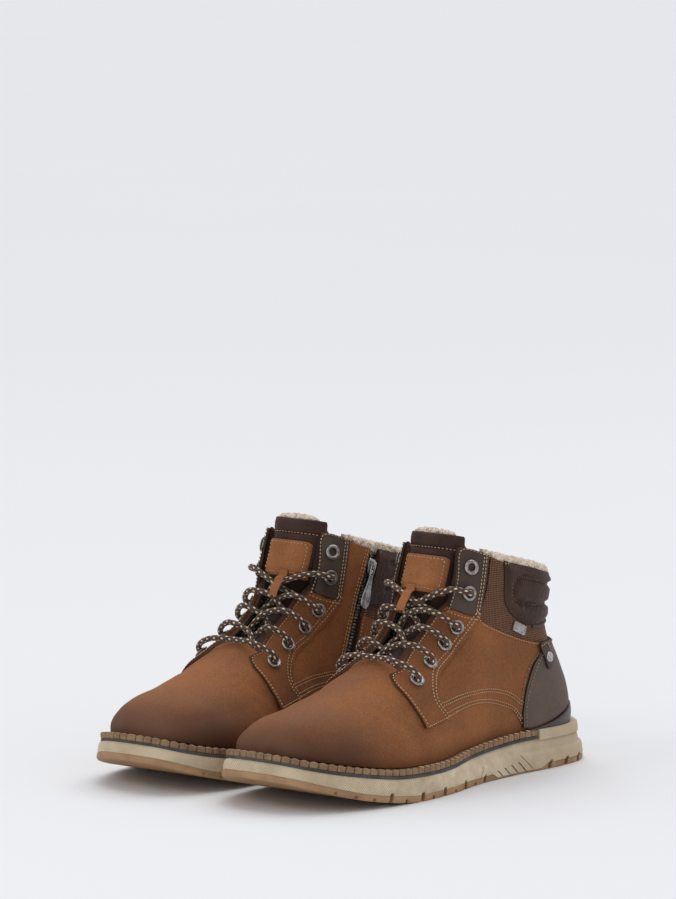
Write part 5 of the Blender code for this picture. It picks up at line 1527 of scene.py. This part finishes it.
def build_eyelets():
    """Hidden strips, cut through at every eyelet, and the metal eyelets they hold."""
    stay = closed([(y + 0.6, z) for y, z in [(22, 152), (12.5, 119.5), (5, 111.5), (-7, 99), (-29, 83.5),
                                             (-41, 76)]],
                  [(-42, 66), (-25, 64), (-13, 71.5), (6, 83), (29, 104), (38, 147)])
    b, f, foot = EYELET_BARREL / 2, EYELET_FLANGE / 2, FLANGE_FOOT
    profile = [(2.55, -3.4), (b, -3.4), (b, foot - 0.3), (f, foot - 0.35), (f + 0.25, foot - 0.05),
               (f + 0.1, foot + 0.35), (f - 0.5, foot + 0.75), (f - 1.2, foot + 0.8),
               (2.75, foot + 0.35), (2.55, foot - 0.5)]
    for side, span, sign in (("lateral", LAT, 1), ("medial", MED, -1)):
        u_range = (0.004, 0.7) if sign > 0 else (-0.7, -0.004)
        strip = panel(stay, span, u_range, -LEATHER - GAP - STIFF, -LEATHER - GAP, (0.1, 1), 2.2)
        rings = []
        for y, z in EYELETS:
            p, n = surface_point(y, z, sign)
            rings.append(lathe(p, n, profile, 28, True))
            hole = lathe(p, n, [(b - 0.3, -9), (b - 0.3, 9)], 16)
            strip = combine(strip, hole, 'DIFFERENCE')
        shade(strip, 40)
        place("eyelet_strip_%s_web" % side, strip, cut_taupe, ["eyelet_strip_" + side])
        place("eyelets_%s_metal" % side, joined("rings", rings), nickel)


# ------------------------------------------------------------ zip and pulls
def local_block(frame_of, sections, bevel=0.35):
    a, down, across, out = frame_of[:4]
    grid = []
    for d, half, lo, hi in sections:
        c = a + down * d
        grid.append([c + across * x + out * h for x, h in
                     ((-half, lo), (half, lo), (half, hi), (-half, hi))])
    mesh = block(grid, 30)
    if bevel:
        mesh = modified(mesh, 'BEVEL', width=bevel, segments=3, limit_method='ANGLE', angle_limit=0.6)
        shade(mesh, 45)
    return mesh


def zip_frame():
    """Slider place near the top: origin, down the zip, towards the heel, outwards."""
    top = np.array(ZIP_TOP) + zip_dir * 12.0
    low = np.array(ZIP_END) + zip_dir * -4.0
    a, n = surface_point(*top, -1)
    b, m = surface_point(*low, -1)
    down = (b - a) / np.linalg.norm(b - a)
    out = n + m
    out = out - down * (out @ down)
    out /= np.linalg.norm(out)
    return a, down, np.cross(out, down), out


def build_zip():
    tape = closed(beside_zip(ZIP_TAPE / 2, -3.0, 8.0), beside_zip(-ZIP_TAPE / 2, -3.0, 8.0)[::-1])
    hidden = (-LEATHER - GAP - STIFF, -LEATHER - GAP)
    place("zip_tape", panel(tape, MED, (-1, -0.4), *hidden), zip_black, ["zip_chain"])
    lines = []
    for shift, lead in ((-0.75, 0.0), (0.75, 1.1)):
        a = np.array(ZIP_TOP) + zip_side * shift + zip_dir * (4.0 + lead)
        b = np.array(ZIP_END) + zip_side * shift - zip_dir * 1.0
        pts = []
        for k in np.linspace(0, 1, 40):
            y, z = a + (b - a) * k
            p, n = surface_point(y, z, -1)
            pts.append(p - n * 1.5)
        lines.append(pts)
    teeth = grown(lines_mesh(lines), tooth_tree, nickel, Spacing=2.2, Length=1.25, Width=2.5, Height=1.1)
    teeth = modified(teeth, 'BEVEL', width=0.2, segments=1)
    shade(teeth, 40)
    place("zip_teeth", teeth, nickel)


def build_slider():
    frame_of = zip_frame()
    lift = -0.7 + GAP + 0.2
    body = local_block(frame_of, [(-5.5, 2.9, lift, lift + 1.2), (-4.6, 3.5, lift, lift + 1.9),
                                  (-2, 3.8, lift, lift + 1.9), (3, 3.0, lift, lift + 1.9),
                                  (5, 2.3, lift, lift + 1.4)])
    bridge = local_block(frame_of, [(-4.0, 0.9, lift + 1.0, lift + 2.2), (-3.2, 0.9, lift + 1.0, lift + 4.6),
                                    (1.6, 0.9, lift + 1.0, lift + 4.6), (2.4, 0.9, lift + 1.0, lift + 2.2)],
                         0.25)
    eye = local_block(frame_of, [(-2.2, 3, lift + 1.95, lift + 3.7), (0.8, 3, lift + 1.95, lift + 3.7)], 0)
    bridge = combine(bridge, eye, 'DIFFERENCE')
    shade(bridge, 40)
    place("slider_metal", joined("slider", [body, bridge]), silver, ["zip_slider"], body="zip_slider")
    a, down, across, out = frame_of
    pin = a - down * 0.7 + out * (lift + 2.9)
    plumb = np.array([0.0, 0.0, -1.0])
    plumb = plumb - across * (plumb @ across)
    plumb /= np.linalg.norm(plumb)
    if plumb @ out < 0:
        plumb = down
    face = np.cross(plumb, across)
    if face @ out < 0:
        face = -face
    hang = (pin, plumb, across, face)
    # teardrop leaf: narrow stem with an eye, broad round end with a shallow oval hollow
    prof = [(-0.7, 1.2), (0.0, 1.8), (1.5, 2.05), (4.0, 2.0), (7.0, 1.75), (10, 1.8), (14, 2.5), (18, 3.4),
            (22, 4.15), (25, 4.3), (27.3, 3.6), (28.7, 2.4), (29.3, 1.0)]
    fine = spline(prof, 40)
    leaf = block([[pin + plumb * d + across * x + face * h for x, h in
                   ((-w, 0.0), (-w * 0.86, -0.55), (w * 0.86, -0.55), (w, 0.0), (w * 0.86, 0.55),
                    (-w * 0.86, 0.55))] for d, w in fine], 50)
    hole = local_block(hang, [(-0.2, 1.15, -3, 3), (0.6, 1.25, -3, 3), (5.4, 1.2, -3, 3),
                              (6.2, 0.7, -3, 3)], 0)
    leaf = combine(leaf, hole, 'DIFFERENCE')
    hollow = spline([(11.5, 0.3), (13, 1.0), (18, 2.2), (23, 2.9), (26, 2.4), (27.4, 0.8)], 24)
    dish = block([[pin + plumb * d + across * x + face * h for x, h in
                   ((-w, 0.32), (w, 0.32), (w, 2.0), (-w, 2.0))] for d, w in hollow])
    leaf = combine(leaf, dish, 'DIFFERENCE')
    shade(leaf, 35)
    bar = sweep([pin - across * 1.9, pin + across * 1.9], 0.5, 12)
    place("pull_metal", joined("pull", [leaf, bar]), silver, ["zip_pull"], body="zip_pull")


# ------------------------------------------------------------- trim, thread
def build_label():
    """Small plain plate under the collar, set flat on the leather."""
    p, n = surface_point(70.2, 96.0, 1)
    along_y = np.array([0, 13.8, -6.0])
    along_y = along_y - n * (along_y @ n)
    along_y /= np.linalg.norm(along_y)
    up = np.cross(n, along_y)
    if up[2] < 0:
        up = -up

    def outline(h, grow, corner):
        x, y = 6.5 + grow, 3.2 + grow
        ring = soften([(-x, -y), (x, -y), (x, y), (-x, y)], corner, 3)
        return [p + along_y * a + up * b + n * (h + 0.5) for a, b in ring]
    plate = block([outline(h, grow, 1.2) for h, grow in ((0.1, 0.0), (0.9, 0.0), (1.2, -0.35))], 40)
    rim = np.array([outline(h, grow, 1.0) for h, grow in ((1.1, -1.0), (1.45, -1.1), (1.45, -1.5),
                                                           (1.1, -1.6))])
    rows, cols = rim.shape[:2]
    faces = [(r * cols + c, r * cols + (c + 1) % cols, ((r + 1) % rows) * cols + (c + 1) % cols,
              ((r + 1) % rows) * cols + c) for r in range(rows) for c in range(cols)]
    rim_mesh = mesh_of("rim", rim.reshape(-1, 3), faces, crease=40)
    place("side_label_plate", joined("label", [plate, rim_mesh]), label_metal)


def both_sides(points, lift, shift=0.0, sides=(1, -1), every=1.5):
    pts = offset_line(curved(points, 1.5), shift) if shift else points
    return [seam_line([tuple(q) for q in pts], s, lift, every, not shift) for s in sides]


def build_threads():
    """Every seam: single and double rows on the leather they are sewn through."""
    sewn = GAP + OVERLAY + 0.42
    low = 0.42
    pale, dull = [], []
    # facing: rear double row, front edge, lower end
    rear = FACING_REAR[1:]
    for d in (-1.7, -4.1):
        pale += both_sides(rear, sewn, d)
    edge = [(5.5, 111.6), (-6.6, 98.6), (-28.7, 83.3), (-37.2, 77.9), (-45.2, 75.3), (-48.3, 70.8),
            (-47.4, 62), (-43.9, 47.2)]
    pale += both_sides(edge, sewn)
    pale += both_sides([(9.5, 112.6), (17, 108.8), (27.5, 106.2)], sewn)
    # lower band: rows above and below its edge
    pale += both_sides([(-24, 57.5), (2, 60.6), (33.7, 60.2), (58.5, 54.2), (71.5, 46.6)], low + 0.2)
    pale += both_sides([(-43.5, 47.0), (-30, 49.2), (-9, 53.0), (12, 54.8), (31, 53.7), (48, 49.7),
                        (63, 43.7), (74, 32.5)], low + 0.2)
    pale += both_sides([(-23, 55.6), (2, 58.7), (33.7, 58.3), (57.6, 52.4), (70.0, 45.2)], low + 0.2)
    pale += both_sides([(-42.8, 45.2), (-30, 47.3), (-9, 51.1)], sewn)
    pale += both_sides([(-9, 50.9), (12, 52.7), (31, 51.6), (48, 47.6), (62.4, 41.9), (72.4, 31.0)],
                       low + 0.2)
    # ankle tab: front and top edge, double at the rear
    pale += both_sides([(10.6, 114.6), (12.8, 119.6), (17.2, 134), (21.9, 151.2), (24.0, 152.3),
                        (37.6, 147.8)], sewn + 0.1)
    for d in (1.6, 3.6):
        pale += both_sides([(39.9 - d * 0.98, 148.4), (30.6 - d * 0.98, 110.4)], sewn + 0.1)
    # textile edge on the lateral side and the collar's front double row
    pale += both_sides([(30.5, 107.2), (33, 103.6), (55, 93.6), (85, 84.1), (88.5, 83.6)], low + 0.2,
                       sides=(1,))
    for d in (1.5, 3.4):
        pts = [(53 + d, 140.8), (54.6 + d, 117.5), (62 + d, 107.5 + d * 0.4), (71.5, 102.4 + d),
               (86, 97.4 + d)]
        pale += both_sides(pts, 0.55 if d < 2 else 1.1, sides=(1,))
    # counter: row inside its front edge and along the top
    dull += both_sides([(88.2, 77.0), (79.5, 71.3), (73.4, 61), (70.4, 50), (68.8, 36)], low + 0.2)
    dull += both_sides([(92, 77.4), (84.3, 70.0), (77, 55), (73.6, 42), (74.5, 31)], sewn)
    top_u = u_at(96, 0.5)
    dull.append(level_line(lambda y: y * 0 + 82.2, top_u, 2 + -u_at(96, 0.5), sewn))
    # strap: across the top and down both edges
    pale += [seam_line([(88.6, 81.8), (94.6, 83.2), (97.2, 80.0)], 1, 2 * GAP + 2 * OVERLAY + 0.42)]
    # zip flap: double row in front, single behind
    for step in (-ZIP_SLOT / 2 - 1.8, -ZIP_SLOT / 2 - 4.0, ZIP_SLOT / 2 + 2.0):
        a = np.array(ZIP_TOP) + zip_side * step - zip_dir * 2.0
        b = np.array(ZIP_END) + zip_side * step + zip_dir * 3.0
        line = [tuple(a + (b - a) * k) for k in np.linspace(0, 1, 12)]
        pale += [seam_line(line[:(9 if step > 0 else 12)], -1, low + (0.3 if step > 0 else 0.2), 1.5, False)]
    place("seam_thread", stitches(pale, thread_pale), thread_pale)
    place("counter_thread", stitches(dull, thread_grey), thread_grey)
    quilt = quilt_lines(0.35)
    place("collar_thread", stitches(quilt, thread_dull, 2.6, 1.9, 0.5, 0.4), thread_dull)
    u0 = u_at(80, 0.6)
    line = level_line(collar_low_z, u0, 1.40, 0.2)
    place("collar_piping", sweep(line - np.array([0, 0, 0.6]), 1.15, 10), taupe_leather)


# ------------------------------------------------------------------ build
for build in (build_vamp, build_quarters, build_collar, build_overlays, build_soles, build_inner,
              build_fleece_rim, build_tongue, build_patch, build_lace, build_eyelets, build_zip,
              build_slider, build_label, build_threads):
    build()

# ------------------------------------------------------------------ studio
FLOOR_HALF, SKY_STRENGTH, SUN_STRENGTH, SUN_WIDTH = 80, 0.60, 1.2, 60
LENS, SENSOR, AZIMUTH, ELEVATION, CAMERA_AT = 299.5, 36.0, 40, 6.5, (2.3694, -2.83025, 0.6346)
scene = bpy.context.scene
scene.view_settings.view_transform = 'Standard'
scene.view_settings.look = 'None'

floor_mesh = bpy.data.meshes.new("studio_floor")
floor_mesh.from_pydata([(x * FLOOR_HALF, y * FLOOR_HALF, 0) for x, y in ((-1, -1), (1, -1), (1, 1), (-1, 1))],
                       [], [(0, 1, 2, 3)])
floor = bpy.data.objects.new("studio_floor", floor_mesh)
scene.collection.objects.link(floor)
floor_mat, t, shader, at = new_material("pale_floor", 0.9)
cloud = t.noise(at['Object'], 1.5)
t.tree.links.new(t.mix(cloud, srgb(238, 239, 241), srgb(240, 241, 243)), shader.inputs["Base Color"])
shader.inputs["Specular IOR Level"].default_value = 0.1
floor_mesh.materials.append(floor_mat)

world = bpy.data.worlds.new("pale_studio")
world.use_nodes = True
world.node_tree.nodes["Background"].inputs[0].default_value = (0.965, 0.97, 1.0, 1)
world.node_tree.nodes["Background"].inputs[1].default_value = SKY_STRENGTH
scene.world = world


def area(name, place_at, target, size, power, colour=(1, 1, 1)):
    data = bpy.data.lights.new(name, 'AREA')
    data.shape, data.size, data.energy, data.color = 'SQUARE', size, power, colour
    obj = bpy.data.objects.new(name, data)
    scene.collection.objects.link(obj)
    obj.location = place_at
    direction = Vector(target) - Vector(place_at)
    obj.rotation_mode = 'QUATERNION'
    obj.rotation_quaternion = direction.to_track_quat('-Z', 'Y')
    return obj


sun_data = bpy.data.lights.new("overhead_soft_light", 'SUN')
sun_data.energy, sun_data.angle = SUN_STRENGTH, math.radians(SUN_WIDTH)
sun = bpy.data.objects.new("overhead_soft_light", sun_data)
scene.collection.objects.link(sun)
sun.rotation_euler = (math.radians(-24), math.radians(-16), 0)
lights = [sun, area("key_soft_box", (-0.7, -1.9, 1.5), (0, 0, 0.06), 0.8, 5, (1, 0.99, 0.97)),
          area("rear_soft_box", (0.6, 1.8, 1.9), (0, 0, 0.08), 1.2, 3)]

cam_data = bpy.data.cameras.new("product_camera")
cam = bpy.data.objects.new("product_camera", cam_data)
scene.collection.objects.link(cam)
cam_data.lens, cam_data.sensor_width, cam_data.sensor_fit = LENS, SENSOR, 'HORIZONTAL'
cam_data.clip_start, cam_data.clip_end = 0.1, 100.0
azimuth, elevation = math.radians(AZIMUTH), math.radians(ELEVATION)
back = Vector((math.sin(azimuth) * math.cos(elevation), -math.cos(azimuth) * math.cos(elevation),
               math.sin(elevation)))
right = Vector((math.cos(azimuth), math.sin(azimuth), 0))
up = back.cross(right)
cam.matrix_world = Matrix.Translation(CAMERA_AT) @ Matrix(
    (right, up, back)).transposed().to_4x4()
scene.camera = cam
